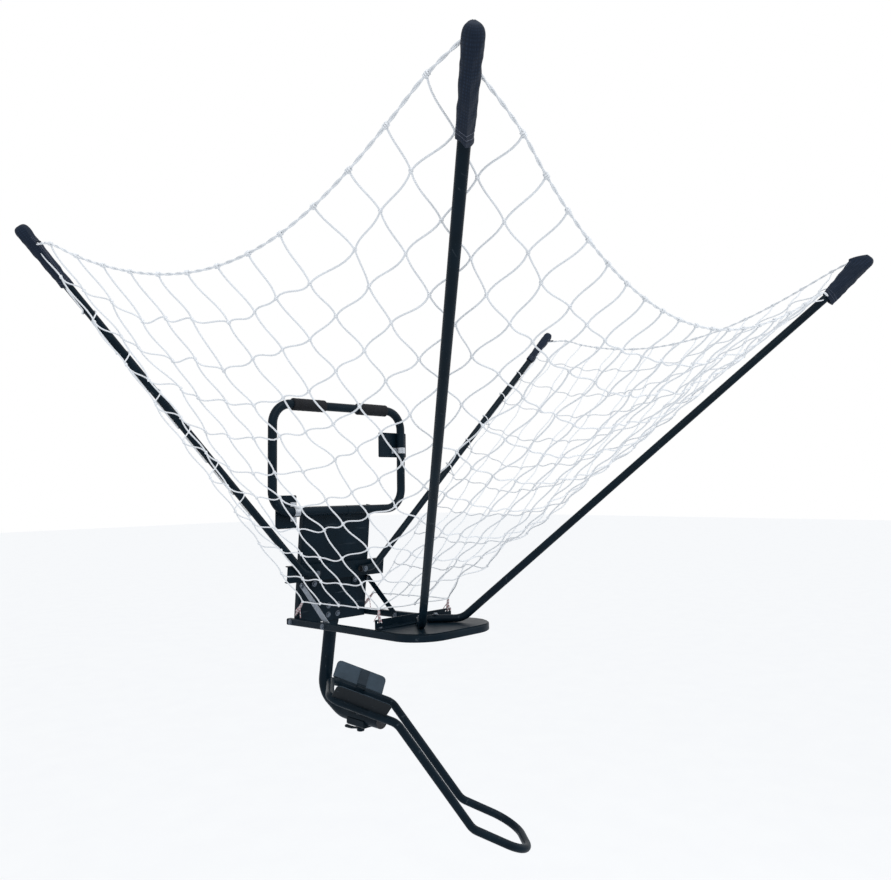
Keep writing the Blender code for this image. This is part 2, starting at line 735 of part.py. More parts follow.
def build_base(parent):
    verts, faces = swept(base_route(), round_box(BASE_TUBE, BASE_TUBE, BASE_TUBE_EDGE), Z)
    frame = add("base_frame", verts, faces, PAINT, parent)
    outer = BASE_TUBE / 2 - SHELF_INSET
    edge = [point for point in base_route() if point.y < -NET_BAR_REACH]
    middle = sum(edge, Vector()) / len(edge)
    outline = [(NET_BAR_HALF_LENGTH, -NET_BAR_REACH)]
    outline += [(p.x + math.copysign(outer, p.x), p.y - outer * (p.y < middle.y)) for p in edge]
    outline += [(-NET_BAR_HALF_LENGTH, -NET_BAR_REACH)]
    verts, faces = prism(outline, SHELF_UNDER, SHELF_TOP)
    shelf = add("foot_shelf", verts, faces, PAINT, parent)
    leg, wall = NET_BAR_LEG, NET_BAR_SHEET
    low, front = SHELF_TOP + SEAT_GAP, -NET_BAR_REACH
    outline = [
        (front, low), (front, low + leg), (front - wall, low + leg),
        (front - wall, low + wall), (front - leg, low + wall), (front - leg, low),
    ]
    ends = (-NET_BAR_HALF_LENGTH, NET_BAR_HALF_LENGTH)
    verts = [Vector((x, y, z)) for x in ends for y, z in outline]
    bar = add("net_bar", verts, prism_faces(outline), PAINT, parent)
    frame_bores, shelf_bores, bar_bores = [], [], []
    for side, sign in sides():
        outside = X * sign * (ARM_MIDDLE + BASE_TUBE / 2)
        frame_bores.append((outside, outside - X * sign * BASE_TUBE, hole_of(FRAME_BOLT)))
        grip = BASE_TUBE + SEAT_GAP + PLATE_SHEET
        bolt("arm_bolt_" + side, FRAME_BOLT, outside, X * sign, grip, parent)
        low_eye = outside - Y * STRUT_LOW_REACH
        frame_bores.append((low_eye, low_eye - X * sign * BASE_TUBE, hole_of(FRAME_BOLT)))
        grip = BASE_TUBE + SEAT_GAP + STRUT_SHEET
        bolt("strut_low_bolt_" + side, FRAME_BOLT, low_eye, X * sign, grip, parent)
        head = net_bar_bolt(sign)
        grip = NET_BAR_SHEET + SEAT_GAP + SHELF_SHEET + SEAT_GAP + BASE_TUBE
        bolt("net_bar_bolt_" + side, SMALL_BOLT, head, Z, grip, parent)
        bore = (head, head - Z * grip, hole_of(SMALL_BOLT))
        bar_bores.append(bore)
        shelf_bores.append(bore)
        frame_bores.append(bore)
        foot, corner = BASE.inverted() @ front_foot(sign), BASE.inverted() @ front_corner(sign)
        under = foot.lerp(corner, POLE_TUBE / FRONT_FOOT_LENGTH) - Z * POLE_RADIUS
        shelf_bores.append((under, under - Z * SHELF_SHEET, hole_of(FRAME_BOLT)))
        for hole in (0, 1):
            x = sign * (NET_BAR_HALF_LENGTH - NET_BAR_HOLE_INSET - hole * NET_BAR_HOLE_PITCH)
            eye = Vector((x, front - wall, low + leg - NET_BAR_HOLE_DROP))
            bar_bores.append((eye, eye + Y * wall, NET_BAR_HOLE))
    drill(frame, frame_bores, parent)
    drill(shelf, shelf_bores, parent)
    drill(bar, bar_bores, parent)


def build_struts():
    """Flat bars with round ends, from the plate's ears down to the inner faces of the arms."""
    for side, sign in sides():
        inner = sign * (ARM_INNER - SEAT_GAP - STRUT_SHEET)
        outer = sign * (ARM_INNER - SEAT_GAP)
        top = PLATE @ strut_top()
        low = BASE @ Vector((0, -STRUT_LOW_REACH, 0))
        run = (low - top).normalized()
        across = X.cross(run)
        radius = STRUT_WIDTH / 2
        outline = []
        for end, centre in ((-1, top), (1, low)):
            for step in range(2 * CORNER_STEPS + 1):
                turn = math.pi * step / (2 * CORNER_STEPS)
                arc = across * math.cos(turn) * end + run * math.sin(turn) * end
                outline.append(centre + arc * radius)
        verts = [point + X * level for level in (inner, outer) for point in outline]
        look = ZINC if sign < 0 else PAINT
        strut = add("strut_" + side, verts, prism_faces(outline), look)
        bores = [(eye + X * inner, eye + X * outer, hole_of(FRAME_BOLT)) for eye in (top, low)]
        drill(strut, bores)
        grip = STRUT_SHEET + SEAT_GAP + PLATE_SHEET
        bolt("strut_top_bolt_" + side, FRAME_BOLT, top + X * outer, X * sign, grip)


def build_support_tube(plate):
    """The tube behind the plate, pressed flat for its bolts, then round, bent forward under the chute."""
    depth = PLATE_REAR + SEAT_GAP + SUPPORT_FLAT_DEPTH / 2
    top = PLATE @ Vector((0, depth, -SUPPORT_TOP_DROP))
    flat_end = PLATE @ Vector((0, depth, -SUPPORT_TOP_DROP - SUPPORT_FLAT_LENGTH))
    elbow = Vector((0, SUPPORT_BACK, SUPPORT_ELBOW_RISE - SUPPORT_DROP))
    knee = Vector((0, -SUPPORT_KNEE, -SUPPORT_DROP))
    front = Vector((0, -SUPPORT_FRONT, -SUPPORT_DROP))
    round_start = flat_end + (elbow - flat_end).normalized() * SUPPORT_TAPER
    bends = rounded([round_start, elbow, knee, front], [0, SUPPORT_ELBOW_BEND, SUPPORT_KNEE_BEND, 0])
    radius = SUPPORT_TUBE / 2
    flat = ellipse(SUPPORT_FLAT_WIDTH / 2, SUPPORT_FLAT_DEPTH / 2, WIDE_STEPS)
    flat = [(a, math.copysign(SUPPORT_FLAT_DEPTH / 2, b)) for a, b in flat]
    half_way = flat_end.lerp(round_start, 0.5)
    mean_width = (SUPPORT_FLAT_WIDTH / 2 + radius) / 2
    mean_depth = (SUPPORT_FLAT_DEPTH / 2 + radius) / 2
    between = ellipse(mean_width, mean_depth, WIDE_STEPS)
    route = [top, flat_end, half_way, *bends]
    sections = [flat, flat, between] + [circle(radius, WIDE_STEPS)] * len(bends)
    verts, faces = swept(route, sections, Y)
    tube = add("support_tube", verts, faces, PAINT)
    bores = []
    through = PLATE.to_3x3() @ Y
    for number, (x, drop) in enumerate(support_bolts(), 1):
        head = Vector((x, PLATE_FRONT, -drop))
        grip = PLATE_SHEET + SEAT_GAP + SUPPORT_FLAT_DEPTH
        bolt("support_bolt_" + str(number), FRAME_BOLT, head, -Y, grip, plate)
        start = PLATE @ head
        bores.append((start + through * PLATE_SHEET, start + through * grip, hole_of(FRAME_BOLT)))
    axis = Vector((0, -CHUTE_PIVOT_REACH, -SUPPORT_DROP))
    bores.append((axis - Z * radius, axis + Z * radius, SWIVEL_BOLT + 2 * HOLE_PLAY))
    drill(tube, bores)


def rail_slope():
    """The run and rise of the rails' rear stretch, as a unit vector toward the front."""
    run, drop = RAIL_BACK + RAIL_BROW, RAIL_BACK_RISE - RAIL_BROW_RISE
    return Vector((0, -run, -drop)).normalized()


def rail_level():
    """The height of the rails' axis over the pivot."""
    share = RAIL_BACK / (RAIL_BACK + RAIL_BROW)
    return RAIL_BACK_RISE + (RAIL_BROW_RISE - RAIL_BACK_RISE) * share - SUPPORT_DROP


def build_rails(parent):
    profile = (
        (-RAIL_BACK, RAIL_BACK_RISE, RAIL_BACK_CORNER),
        (RAIL_BROW, RAIL_BROW_RISE, RAIL_BEND),
        (RAIL_TOE, -RAIL_TOE_FALL, RAIL_BEND),
        (RAIL_TIP, -RAIL_TIP_FALL, RAIL_TIP_CORNER),
    )
    right = [Vector((RAIL_HALF_SPAN, -reach, rise - SUPPORT_DROP)) for reach, rise, _ in profile]
    left = [at_side(-1, point) for point in reversed(right)]
    radii = [radius for _, _, radius in profile]
    route = rounded(right + left, radii + radii[::-1], closed=True)
    verts, faces = swept(route, circle(RAIL_TUBE / 2, ROUND_STEPS), Z, closed=True)
    add("chute_rails", verts, faces, PAINT, parent)


def build_wings(parent):
    """Side sheets on the rails' rear stretch, flared outward and rounded at their upper corners."""
    along = rail_slope()
    up = X.cross(along)
    if up.z < 0:
        up = -up
    start, end = -WING_LENGTH * (1 - WING_FORWARD_SHARE), WING_LENGTH * WING_FORWARD_SHARE
    foot = RAIL_TUBE / 2 + SEAT_GAP
    rise = foot + WING_HEIGHT
    outline = [(end, foot), (start, foot)]
    for sign, edge, first in ((-1, start, math.pi), (1, end, math.pi / 2)):
        for step in range(CORNER_STEPS + 1):
            turn = first - math.pi / 2 * step / CORNER_STEPS
            outline.append((
                edge - sign * WING_CORNER + WING_CORNER * math.cos(turn),
                rise - WING_CORNER + WING_CORNER * math.sin(turn),
            ))
    for side, sign in sides():
        origin = Vector((sign * RAIL_HALF_SPAN, 0, rail_level()))
        out = up * math.cos(WING_FLARE) + X * sign * math.sin(WING_FLARE)
        thick = X * sign * math.cos(WING_FLARE) - up * math.sin(WING_FLARE)
        points = [origin + along * a + out * b for a, b in outline]
        verts = [point + thick * share * WING_SHEET for share in (-0.5, 0.5) for point in points]
        add("chute_wing_" + side, verts, prism_faces(outline), CHUTE_PAINT, parent)


def cradle_floor():
    """The height of the cradle's underside, on top of the swivel seat."""
    return saddle_radius() + SEAT_WALL + SEAT_GAP - SUPPORT_DROP


def build_cradle(parent):
    middle = CRADLE_SHEET / 2
    half = RAIL_HALF_SPAN - RAIL_TUBE / 2 - SEAT_GAP - middle
    top, low = rail_level() + CRADLE_RISE, cradle_floor() + middle
    corners = [Vector((x, 0, z)) for x, z in ((half, top), (half, low), (-half, low), (-half, top))]
    route = rounded(corners, [CRADLE_BEND] * 4)
    section = [(a * middle, b * CRADLE_WIDTH / 2) for a, b in ((1, 1), (-1, 1), (-1, -1), (1, -1))]
    verts, faces = swept(route, section, Y)
    cradle = add("chute_cradle", verts, faces, PAINT, parent)
    floor = Z * cradle_floor()
    drill(cradle, [(floor, floor + Z * CRADLE_SHEET, SWIVEL_BOLT + 2 * HOLE_PLAY)], parent)


def saddle_radius():
    """The hollow of the blocks above and below the support tube."""
    return SUPPORT_TUBE / 2 + 2 * SEAT_GAP


def saddle_bottom():
    return -SUPPORT_DROP - saddle_radius() - SADDLE_WALL


def hollow_block(name, look, size, wall, wrap, side):
    """A block above (side 1) or below (side -1) the tube, hollowed to the tube's round and bored."""
    width, length = size
    radius, half = saddle_radius(), width / 2
    far, near = radius + wall, radius - wrap
    opening = math.acos(near / radius)
    outline = [(half, near), (half, far - SADDLE_EDGE), (half - SADDLE_EDGE, far)]
    outline += [(-x, level) for x, level in reversed(outline)]
    for step in range(2 * BEND_STEPS + 1):
        turn = opening * (step / BEND_STEPS - 1)
        outline.append((radius * math.sin(turn), radius * math.cos(turn)))
    verts = []
    for y in (-length / 2, length / 2):
        verts += [Vector((x, y - CHUTE_PIVOT_REACH, side * level - SUPPORT_DROP)) for x, level in outline]
    block = add(name, verts, prism_faces(outline), look)
    inner = Vector((0, -CHUTE_PIVOT_REACH, side * radius - SUPPORT_DROP))
    drill(block, [(inner, inner + Z * side * wall, SWIVEL_BOLT + 2 * HOLE_PLAY)])


def build_swivel(chute, pivot):
    """The upright bolt that turns with the chute, and the lever nut below the saddle."""
    seat = cradle_floor() + CRADLE_SHEET + SEAT_GAP
    end = saddle_bottom() - LEVER_THREAD
    shank = SWIVEL_BOLT / 2
    head = SWIVEL_HEAD / 2
    crown = seat + SWIVEL_HEAD_HEIGHT
    profile = [(0, crown), (SWIVEL_CROWN / 2, crown), (head, seat), (shank, seat), (shank, end), (0, end)]
    add("swivel_bolt", *turned(profile, ROUND_STEPS), ZINC, chute)
    top = saddle_bottom() - SEAT_GAP
    boss = LEVER_BOSS / 2
    bore = round_clear(shank, ROUND_STEPS)
    bottom = top - LEVER_BOSS_HEIGHT
    roof = end - SEAT_GAP
    profile = [(0, bottom), (boss, bottom), (boss, top), (bore, top), (bore, roof), (0, roof)]
    lever = add("clamp_lever", *turned(profile, ROUND_STEPS), PAINT, pivot)
    reach = Vector((0, math.cos(LEVER_DIP), -math.sin(LEVER_DIP)))
    middle = Vector((0, 0, (bottom + top) / 2))
    start = middle + Y * (bore + boss) / 2
    route = [start, start + reach * (LEVER_LENGTH - LEVER_ROD)]
    sections = [circle(LEVER_ROD / 2, ROUND_STEPS)] * 2
    for step in (1, 2):
        turn = LEVER_END_STEP * step
        route.append(route[1] + reach * LEVER_ROD / 2 * math.sin(turn))
        sections.append(circle(LEVER_ROD / 2 * math.cos(turn), ROUND_STEPS))
    handle = add("lever_handle", *swept(route, sections, X), parent=pivot)
    cut(lever, handle, "UNION")


def seam(sign):
    """The net's corner line along the inside of a front pole, and the direction across that line."""
    tip, out = pole_axes(sign)["front"]
    side_run = at_side(sign, REAR_TIP) - tip
    side_run += at_side(sign, Vector((-NET_SIDE_INSET, 0, -NET_SIDE_SAG))) * 4
    front_run = at_side(-sign, FRONT_TIP) - tip + Vector((0, NET_FRONT_INSET, -NET_FRONT_SAG)) * 4
    across = side_run.normalized() - front_run.normalized()
    across = (across - out * across.dot(out)).normalized()
    inward = across.cross(out)
    if inward.z < 0:
        inward = -inward
    reach = TIP_SLEEVE_DIAMETER / 2 + NET_CORD / 2 + SEAT_GAP + NET_EASE
    top = tip - out * NET_CORNER_DROP + inward * reach
    return top, at_side(sign, NET_RING_FRONT), across * (NET_CORD / 2 + NET_SEAM_GAP)


def rear_edge(sign):
    """The net's rear edge, from the rear pole's sleeve down to the ring's rear corner."""
    tip, out = pole_axes(sign)["rear"]
    front = -Y - out * -Y.dot(out)
    reach = TIP_SLEEVE_DIAMETER / 2 + NET_CORD / 2 + SEAT_GAP + NET_EASE
    return tip - out * NET_CORNER_DROP + front.normalized() * reach, at_side(sign, NET_RING_REAR)


def netting(name, first, last, cells, lost_first, lost_last, sag):
    """One side of the funnel as square meshes with real gaps, between two edge lines from top to ring.

    Each row down loses cells at an edge where the netting folds round a front pole, so the meshes
    there end as triangles. The upper border hangs by the vector sag, and lower rows by less.
    """
    verts, index = [], {}
    for row in range(NET_ROWS + 1):
        low = row / NET_ROWS
        begin, end = row * lost_first, cells - row * lost_last
        for cell in range(begin, end + 1):
            share = (cell - begin) / (end - begin)
            edge_a, edge_b = first[0].lerp(first[1], low), last[0].lerp(last[1], low)
            index[row, cell] = len(verts)
            verts.append(edge_a.lerp(edge_b, share) + sag * 4 * share * (1 - share) * (1 - low))
    faces = []
    for row in range(NET_ROWS):
        begin, end = row * lost_first, cells - row * lost_last
        for cell in range(begin, end):
            corners = ((row, cell), (row, cell + 1), (row + 1, cell + 1), (row + 1, cell))
            faces.append(tuple(index[corner] for corner in corners if corner in index))
    net = add(name, verts, faces, TWINE)
    cords = net.modifiers.new("cords", "WIREFRAME")
    cords.thickness = NET_CORD
    cords.use_boundary = True
    cords.use_even_offset = True


def build_net():
    seams = {}
    for side, sign in sides():
        top, ring, across = seam(sign)
        seams[sign] = (top - across, ring - across)
        rear = rear_edge(sign)
        sag = at_side(sign, Vector((-NET_SIDE_INSET, 0, -NET_SIDE_SAG)))
        netting("net_" + side, (top + across, ring + across), rear, NET_SIDE_CELLS, 1, 0, sag)
    sag = Vector((0, NET_FRONT_INSET, -NET_FRONT_SAG))
    netting("net_front", seams[-1], seams[1], NET_FRONT_CELLS, 1, 1, sag)
    slack = NET_CORD / 2 + SEAT_GAP + TIE_CORD / 2
    for side, sign in sides():
        ring = seam(sign)[1]
        low, leg = SHELF_TOP + SEAT_GAP, NET_BAR_LEG
        bar = BASE @ Vector((0, -NET_BAR_REACH - NET_BAR_SHEET / 2, low + leg + 2 * SEAT_GAP))
        top = Vector((ring.x, ring.y, ring.z - NET_CORD / 2 - SEAT_GAP))
        tie("net_tie_front_" + side, [top, Vector((ring.x, bar.y, bar.z))])
        rear = at_side(sign, NET_RING_REAR)
        flange = PLATE @ Vector((0, PLATE_FRONT + PLATE_FLANGE / 2, TIE_REAR_RISE - PLATE_LENGTH))
        wall = sign * (PLATE_HALF_WIDTH + SEAT_GAP + TIE_CORD / 2)
        start = rear + Vector((0, slack, -slack))
        tie("net_tie_rear_" + side, [start, Vector((wall, flange.y, flange.z))])


def tie(name, route):
    """A short cord between two points."""
    curve = bpy.data.curves.new(name, "CURVE")
    curve.dimensions = "3D"
    curve.bevel_depth = TIE_CORD / 2
    curve.bevel_resolution = 1
    curve.use_fill_caps = True
    spline = curve.splines.new("POLY")
    spline.points.add(len(route) - 1)
    for place, point in zip(spline.points, route):
        place.co = (*point, 1)
    cord = bpy.data.objects.new(name, curve)
    bpy.context.scene.collection.objects.link(cord)
    curve.materials.append(finish(name, TWINE))


def main():
    clear_scene()
    plate = group("plate_lean", PLATE)
    base = group("base_rise", BASE)
    pivot = group("chute_pivot", PIVOT)
    chute = group("chute_turn", CHUTE)
    build_hanger_loop()
    build_clamps()
    build_back_plate(plate)
    build_crossbar(plate)
    build_poles()
    build_tip_sleeves()
    build_base(base)
    build_struts()
    build_support_tube(plate)
    build_rails(chute)
    build_wings(chute)
    build_cradle(chute)
    hollow_block("swivel_saddle", PAINT, (SADDLE_WIDTH, SADDLE_LENGTH), SADDLE_WALL, SADDLE_WRAP, -1)
    hollow_block("swivel_seat", RUBBER, (SEAT_WIDTH, SEAT_WIDTH), SEAT_WALL, SEAT_WRAP, 1)
    build_swivel(chute, pivot)
    build_net()


main()
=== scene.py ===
"""Looks of a basketball return net: powder-coated tubes and sheets, zinc-plated fasteners, fabric tip sleeves
and one white knotted netting folded round the front poles. Metres, +Z up, the player stands toward -Y."""

import math

import bmesh
import bpy
import numpy as np
from bpy.props import FloatProperty, FloatVectorProperty, IntProperty, PointerProperty
from mathutils import Matrix, Vector


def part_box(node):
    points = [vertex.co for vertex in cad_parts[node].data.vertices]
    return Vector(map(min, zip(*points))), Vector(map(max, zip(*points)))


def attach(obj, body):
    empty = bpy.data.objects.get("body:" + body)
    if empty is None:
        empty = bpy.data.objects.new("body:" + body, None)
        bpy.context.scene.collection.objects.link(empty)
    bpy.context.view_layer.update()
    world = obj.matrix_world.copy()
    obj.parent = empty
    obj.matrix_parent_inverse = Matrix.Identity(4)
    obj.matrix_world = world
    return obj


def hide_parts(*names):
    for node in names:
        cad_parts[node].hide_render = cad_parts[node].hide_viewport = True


bl_info = {
    "name": "Basketball Return Net",
    "version": (1, 0, 0),
    "blender": (4, 5, 0),
    "location": "View3D > Sidebar > Return Net",
    "description": "Dresses the packed return net: frame, funnel netting, chute and studio stage",
    "category": "Object",
}

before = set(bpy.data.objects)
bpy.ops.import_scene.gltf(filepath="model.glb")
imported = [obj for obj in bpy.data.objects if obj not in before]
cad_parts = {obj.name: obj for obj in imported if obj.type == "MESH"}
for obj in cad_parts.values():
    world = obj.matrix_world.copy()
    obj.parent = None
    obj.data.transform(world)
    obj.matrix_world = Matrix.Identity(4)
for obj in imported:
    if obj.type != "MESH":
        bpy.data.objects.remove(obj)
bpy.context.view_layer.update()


def linear(code):
    """Turns an sRGB hex value such as #18222C into linear red, green and blue."""
    parts = np.array([int(code[at:at + 2], 16) for at in (1, 3, 5)]) / 255
    return tuple(np.where(parts <= 0.04045, parts / 12.92, ((parts + 0.055) / 1.055) ** 2.4).tolist())


class ReturnNetFrame(bpy.types.PropertyGroup):
    """Sizes and colours of the steel frame."""

    paint: FloatVectorProperty(
        name="Frame paint", description="Powder coat of the tubes and sheets", subtype="COLOR",
        size=3, min=0, max=1, default=linear("#0A1821"))
    # The wing colour is lighter than the frame's paint: on the sheets' upper faces it stands in for the sky's
    # reflection, a painted highlight
    chute_paint: FloatVectorProperty(
        name="Wing paint", description="Powder coat of the chute's side sheets", subtype="COLOR",
        size=3, min=0, max=1, default=linear("#39454F"))
    edge: FloatProperty(
        name="Edge round", description="Rounding on the edges of cut sheets", unit="LENGTH",
        min=0.0001, max=0.002, default=0.0005)
    seam: FloatProperty(
        name="Weld bead", description="Radius of the weld beads", unit="LENGTH",
        min=0.0005, max=0.004, default=0.0018)


class ReturnNetNetting(bpy.types.PropertyGroup):
    """Sizes and colours of the netting and the fabric."""

    twine: FloatProperty(
        name="Twine", description="Thickness of the mesh twine", unit="LENGTH",
        min=0.001, max=0.006, default=0.0038)
    border: FloatProperty(
        name="Border cord", description="Thickness of each of the two border cords", unit="LENGTH",
        min=0.001, max=0.008, default=0.0032)
    limp: FloatProperty(
        name="Limpness", description="How far the strands turn down as they leave a knot", subtype="FACTOR",
        min=0, max=1, default=0.62)
    bow: FloatProperty(
        name="Bow", description="Sideways bow of a strand as a share of its length", subtype="FACTOR",
        min=0, max=0.2, default=0.035)
    seed: IntProperty(name="Seed", description="Seed of the small irregularities", min=0, default=11)
    colour: FloatVectorProperty(
        name="Twine colour", description="Colour of the twine", subtype="COLOR",
        size=3, min=0, max=1, default=linear("#F2F4F6"))
    fabric: FloatVectorProperty(
        name="Sleeve colour", description="Colour of the fabric sleeves", subtype="COLOR",
        size=3, min=0, max=1, default=linear("#1A2739"))


def settings():
    """The frame's and the netting's property groups."""
    return bpy.context.scene.return_net_frame, bpy.context.scene.return_net_netting


# Sizes in metres, most of them the same as in the solids. GAP is left between pieces that touch.
GAP = 0.0003

# Hanger loop, with its foam sleeves on the top bar
LOOP_TUBE = 0.028
LOOP_HALF_WIDTH = 0.260
LOOP_DROP = 0.333
LOOP_CORNER = 0.065
FOAM_START = 0.067
FOAM_LENGTH = 0.123
FOAM_WALL = 0.005
FOAM_ROUND = 0.003

# Back plate, its pivot holes and the crossbar of the rear poles
PLATE_LEAN = math.radians(5.4)
PLATE_SHEET = 0.003
PLATE_HALF_WIDTH = 0.1352
PLATE_LENGTH = 0.3575
PLATE_FLANGE = 0.022
PIVOT_INSET = 0.0125
PIVOT_RISE = 0.010
CROSSBAR_DEPTH = 0.014
CROSSBAR_DROP = 0.194

# Poles
POLE_TUBE = 0.022
POLE_BEND = 0.060
REAR_FOOT_END = 0.085
REAR_FOOT_BEND = 0.138
REAR_TIP = np.array([1.005, -0.090, 0.354])
FRONT_FOOT_BEND = 0.080
FRONT_FOOT_REACH = 0.519
FRONT_FOOT_LENGTH = 0.100
FRONT_TIP = np.array([0.830, -1.370, 0.368])

# Fabric sleeves on the pole tips
SLEEVE_LENGTH = 0.165
SLEEVE_DIAMETER = 0.033
SLEEVE_HEM = 0.028
SLEEVE_CROWN = 0.003
SLEEVE_ROUND = 0.014
SLEEVE_FOLD = 0.0215
SLEEVE_HANG = 0.013
SLEEVE_ROWS = 44
THREAD = 0.0009

# Base frame, shelf and net bar
BASE_RISE = math.radians(1.4)
BASE_TUBE = 0.020
BASE_EDGE = 0.004
BASE_TAIL = 0.019
BASE_STRAIGHT = 0.216
BASE_REACH = 0.591
BASE_SPLAY = 0.0125
BASE_CORNER = 0.090
SHELF_SHEET = 0.002
NET_BAR_REACH = 0.402
NET_BAR_HALF = 0.150
NET_BAR_LEG = 0.025
NET_BAR_SHEET = 0.003

# Support tube, flattened at its top
SUPPORT_TUBE = 0.042
FLAT_WIDTH = 0.060
FLAT_DEPTH = 0.009
FLAT_LENGTH = 0.062
SUPPORT_TAPER = 0.045
SUPPORT_TOP_DROP = 0.295
SUPPORT_BACK = 0.094
SUPPORT_ELBOW_DROP = 0.9165
SUPPORT_KNEE = 0.004
SUPPORT_DROP = 0.966
SUPPORT_FRONT = 0.192
ELBOW_BEND = 0.060
KNEE_BEND = 0.100
SEAT_EDGE = 0.0009

# Chute: rails as (forward, down) of their corners, wings and cradle strap
CHUTE_REACH = 0.093
CHUTE_TURN = math.radians(52.0)
RAIL_TUBE = 0.025
RAIL_HALF_SPAN = 0.118
RAIL_PROFILE = np.array([[-0.093, 0.878], [0.105, 0.961], [0.328, 1.280], [0.508, 1.369]])
RAIL_RADII = (0.040, 0.060, 0.060, 0.085)
WING_SHEET = 0.002
WING_LENGTH = 0.172
WING_HEIGHT = 0.066
WING_FORWARD_SHARE = 0.43
WING_FLARE = math.radians(45.0)
CRADLE_SHEET = 0.003
CRADLE_WIDTH = 0.030
CRADLE_EDGE = 0.0009
CRADLE_MIDDLE = -0.9336
CRADLE_BENDS = (0.006, 0.010, 0.005, 0)

# Bolts: the heights of head and nut, and the width across the head
FRAME_BOLT = (0.005, 0.006, 0.014)
SMALL_BOLT = (0.0035, 0.004, 0.010)

# Netting: how many cells each side has, how far its top border sags down and inward, and the ring below. The
# right side hangs less than the left one, and is held straighter near its front pole.
NET_CORD = 0.005
NET_REACH = SLEEVE_DIAMETER / 2 + NET_CORD / 2 + 2 * GAP
NET_ROWS = 10
SIDE_CELLS = 14
FRONT_CELLS = 22
SIDE_SAG = 0.205
SIDE_SAGS = {-1: SIDE_SAG, 1: 0.150}
SIDE_INSET = 0.050
SIDE_STIFF = 0.35
FRONT_SAG = 0.297
FRONT_INSET = 0.100
CORNER_DROP = 0.008
RING_REAR = np.array([0.142, 0.012, -0.612])
RING_FRONT = np.array([0.138, -0.345, -0.600])
# Knots of the top row that lie in a sleeve: side, left or right pole, rear or front pole, cell, depth below
# the tip and distance from the pole's middle
SLEEVED_KNOTS = (
    ("front", -1, "front", 0, 0.030, 0), ("front", -1, "front", 1, 0.050, 0),
    ("front", 1, "front", -1, 0.030, 0), ("front", 1, "front", -2, 0.100, 0),
    ("front", 1, "front", -3, 0.158, 0),
    ("left", -1, "front", 0, 0.005, 0), ("right", 1, "front", 0, 0.036, 0.028),
    ("left", -1, "rear", -1, 0.048, 0.014), ("right", 1, "rear", -1, 0.048, 0.014))
# Between which knots of each side's top row the border's cords run
BORDER_ENDS = {"front": (1, -2), "left": (0, None), "right": (0, None)}
# Lacing: where on the pole its straight run lies, and the share of a row where it starts to wind
LACING_RUN = math.radians(32.0)
LACING_WIND = 0.70

# Studio: the floor's level and half width, the lamps' size and what they face
FLOOR_LEVEL = -3.05
FLOOR_HALF = 60.0
LAMP_SIZE = 3.0
LAMP_AIM = (0, -0.6, -0.4)

# The photograph's camera: frame, focal length and middle of the view in pixels, angles and place
VIEW_WIDTH = 891.0
VIEW_HEIGHT = 880.0
VIEW_FOCAL = 800.0
VIEW_MIDDLE = (452.2, 427.4)
VIEW_AZIMUTH = math.radians(45.7)
VIEW_LIFT = math.radians(4.23)
VIEW_ROLL = math.radians(-0.81)
VIEW_PLACE = (-1.609, -2.077, -0.262)

# Steps round a tube and along a bend, the world's axes, and the two sides
ROUND = 32
BEND = 12
X, Y, Z = np.eye(3)
SIDES = (("left", -1), ("right", 1))


def turn_x(angle):
    """The matrix that turns a row vector about X by an angle, by the right-hand rule."""
    c, s = math.cos(angle), math.sin(angle)
    return np.array([[1, 0, 0], [0, c, s], [0, -s, c]])


def turn_z(angle):
    """The matrix that turns a row vector about Z by an angle, by the right-hand rule."""
    c, s = math.cos(angle), math.sin(angle)
    return np.array([[c, s, 0], [-s, c, 0], [0, 0, 1]])


PLATE_FRONT = LOOP_TUBE / 2 + GAP
PLATE_REAR = PLATE_FRONT + PLATE_SHEET
PLATE_TURN, PLATE_AT = turn_x(PLATE_LEAN), -Z * LOOP_DROP
BASE_TURN = turn_x(-BASE_RISE)
BASE_AT = np.array([0, PLATE_FRONT + PIVOT_INSET, PIVOT_RISE - PLATE_LENGTH]) @ PLATE_TURN + PLATE_AT
ARM_MIDDLE = PLATE_HALF_WIDTH + GAP + BASE_TUBE / 2
SHELF_TOP = BASE_TUBE / 2 + GAP + SHELF_SHEET


def on_plate(points):
    """Points of the leaning back plate's frame, in the world."""
    return np.asarray(points, float) @ PLATE_TURN + PLATE_AT


def on_base(points):
    """Points of the rising base frame's frame, in the world."""
    return np.asarray(points, float) @ BASE_TURN + BASE_AT


def on_chute(points):
    """Points of the turned chute's frame, in the world."""
    return np.asarray(points, float) @ turn_z(CHUTE_TURN) - Y * CHUTE_REACH


def off_base(points):
    """World points in the base frame's own frame."""
    return (np.asarray(points, float) - BASE_AT) @ BASE_TURN.T


def sided(sign, point):
    """A point of the right side, mirrored to the left for a sign of -1."""
    return np.asarray(point, float) * (sign, 1, 1)


def unit(vectors):
    """Vectors divided by their lengths."""
    vectors = np.asarray(vectors, float)
    return vectors / np.linalg.norm(vectors, axis=-1, keepdims=True)


def axes_about(axis):
    """An axis as a unit vector, and two more at right angles to it and to each other."""
    axis = unit(axis)
    side = unit(np.cross(Z if abs(axis[2]) < 0.7 else X, axis))
    return axis, side, np.cross(axis, side)


def set_inputs(node, inputs):
    """Gives each named input of a node a link from an output or a value; a plain colour gets full alpha."""
    for name, value in inputs.items():
        socket = node.inputs[name]
        if isinstance(value, bpy.types.NodeSocket):
            node.id_data.links.new(value, socket)
        else:
            socket.default_value = (*value, 1) if socket.type == "RGBA" and len(value) == 3 else value


def add_node(tree, kind, inputs=(), stops=(), **options):
    """Adds a shader node and sets its options, its inputs and a colour ramp's stops: places and colours."""
    made = tree.nodes.new("ShaderNode" + kind)
    for name, value in options.items():
        setattr(made, name, value)
    for number, (place, colour) in enumerate(stops):
        made.color_ramp.elements[number].position = place
        made.color_ramp.elements[number].color = (*colour, 1)
    set_inputs(made, dict(inputs))
    return made


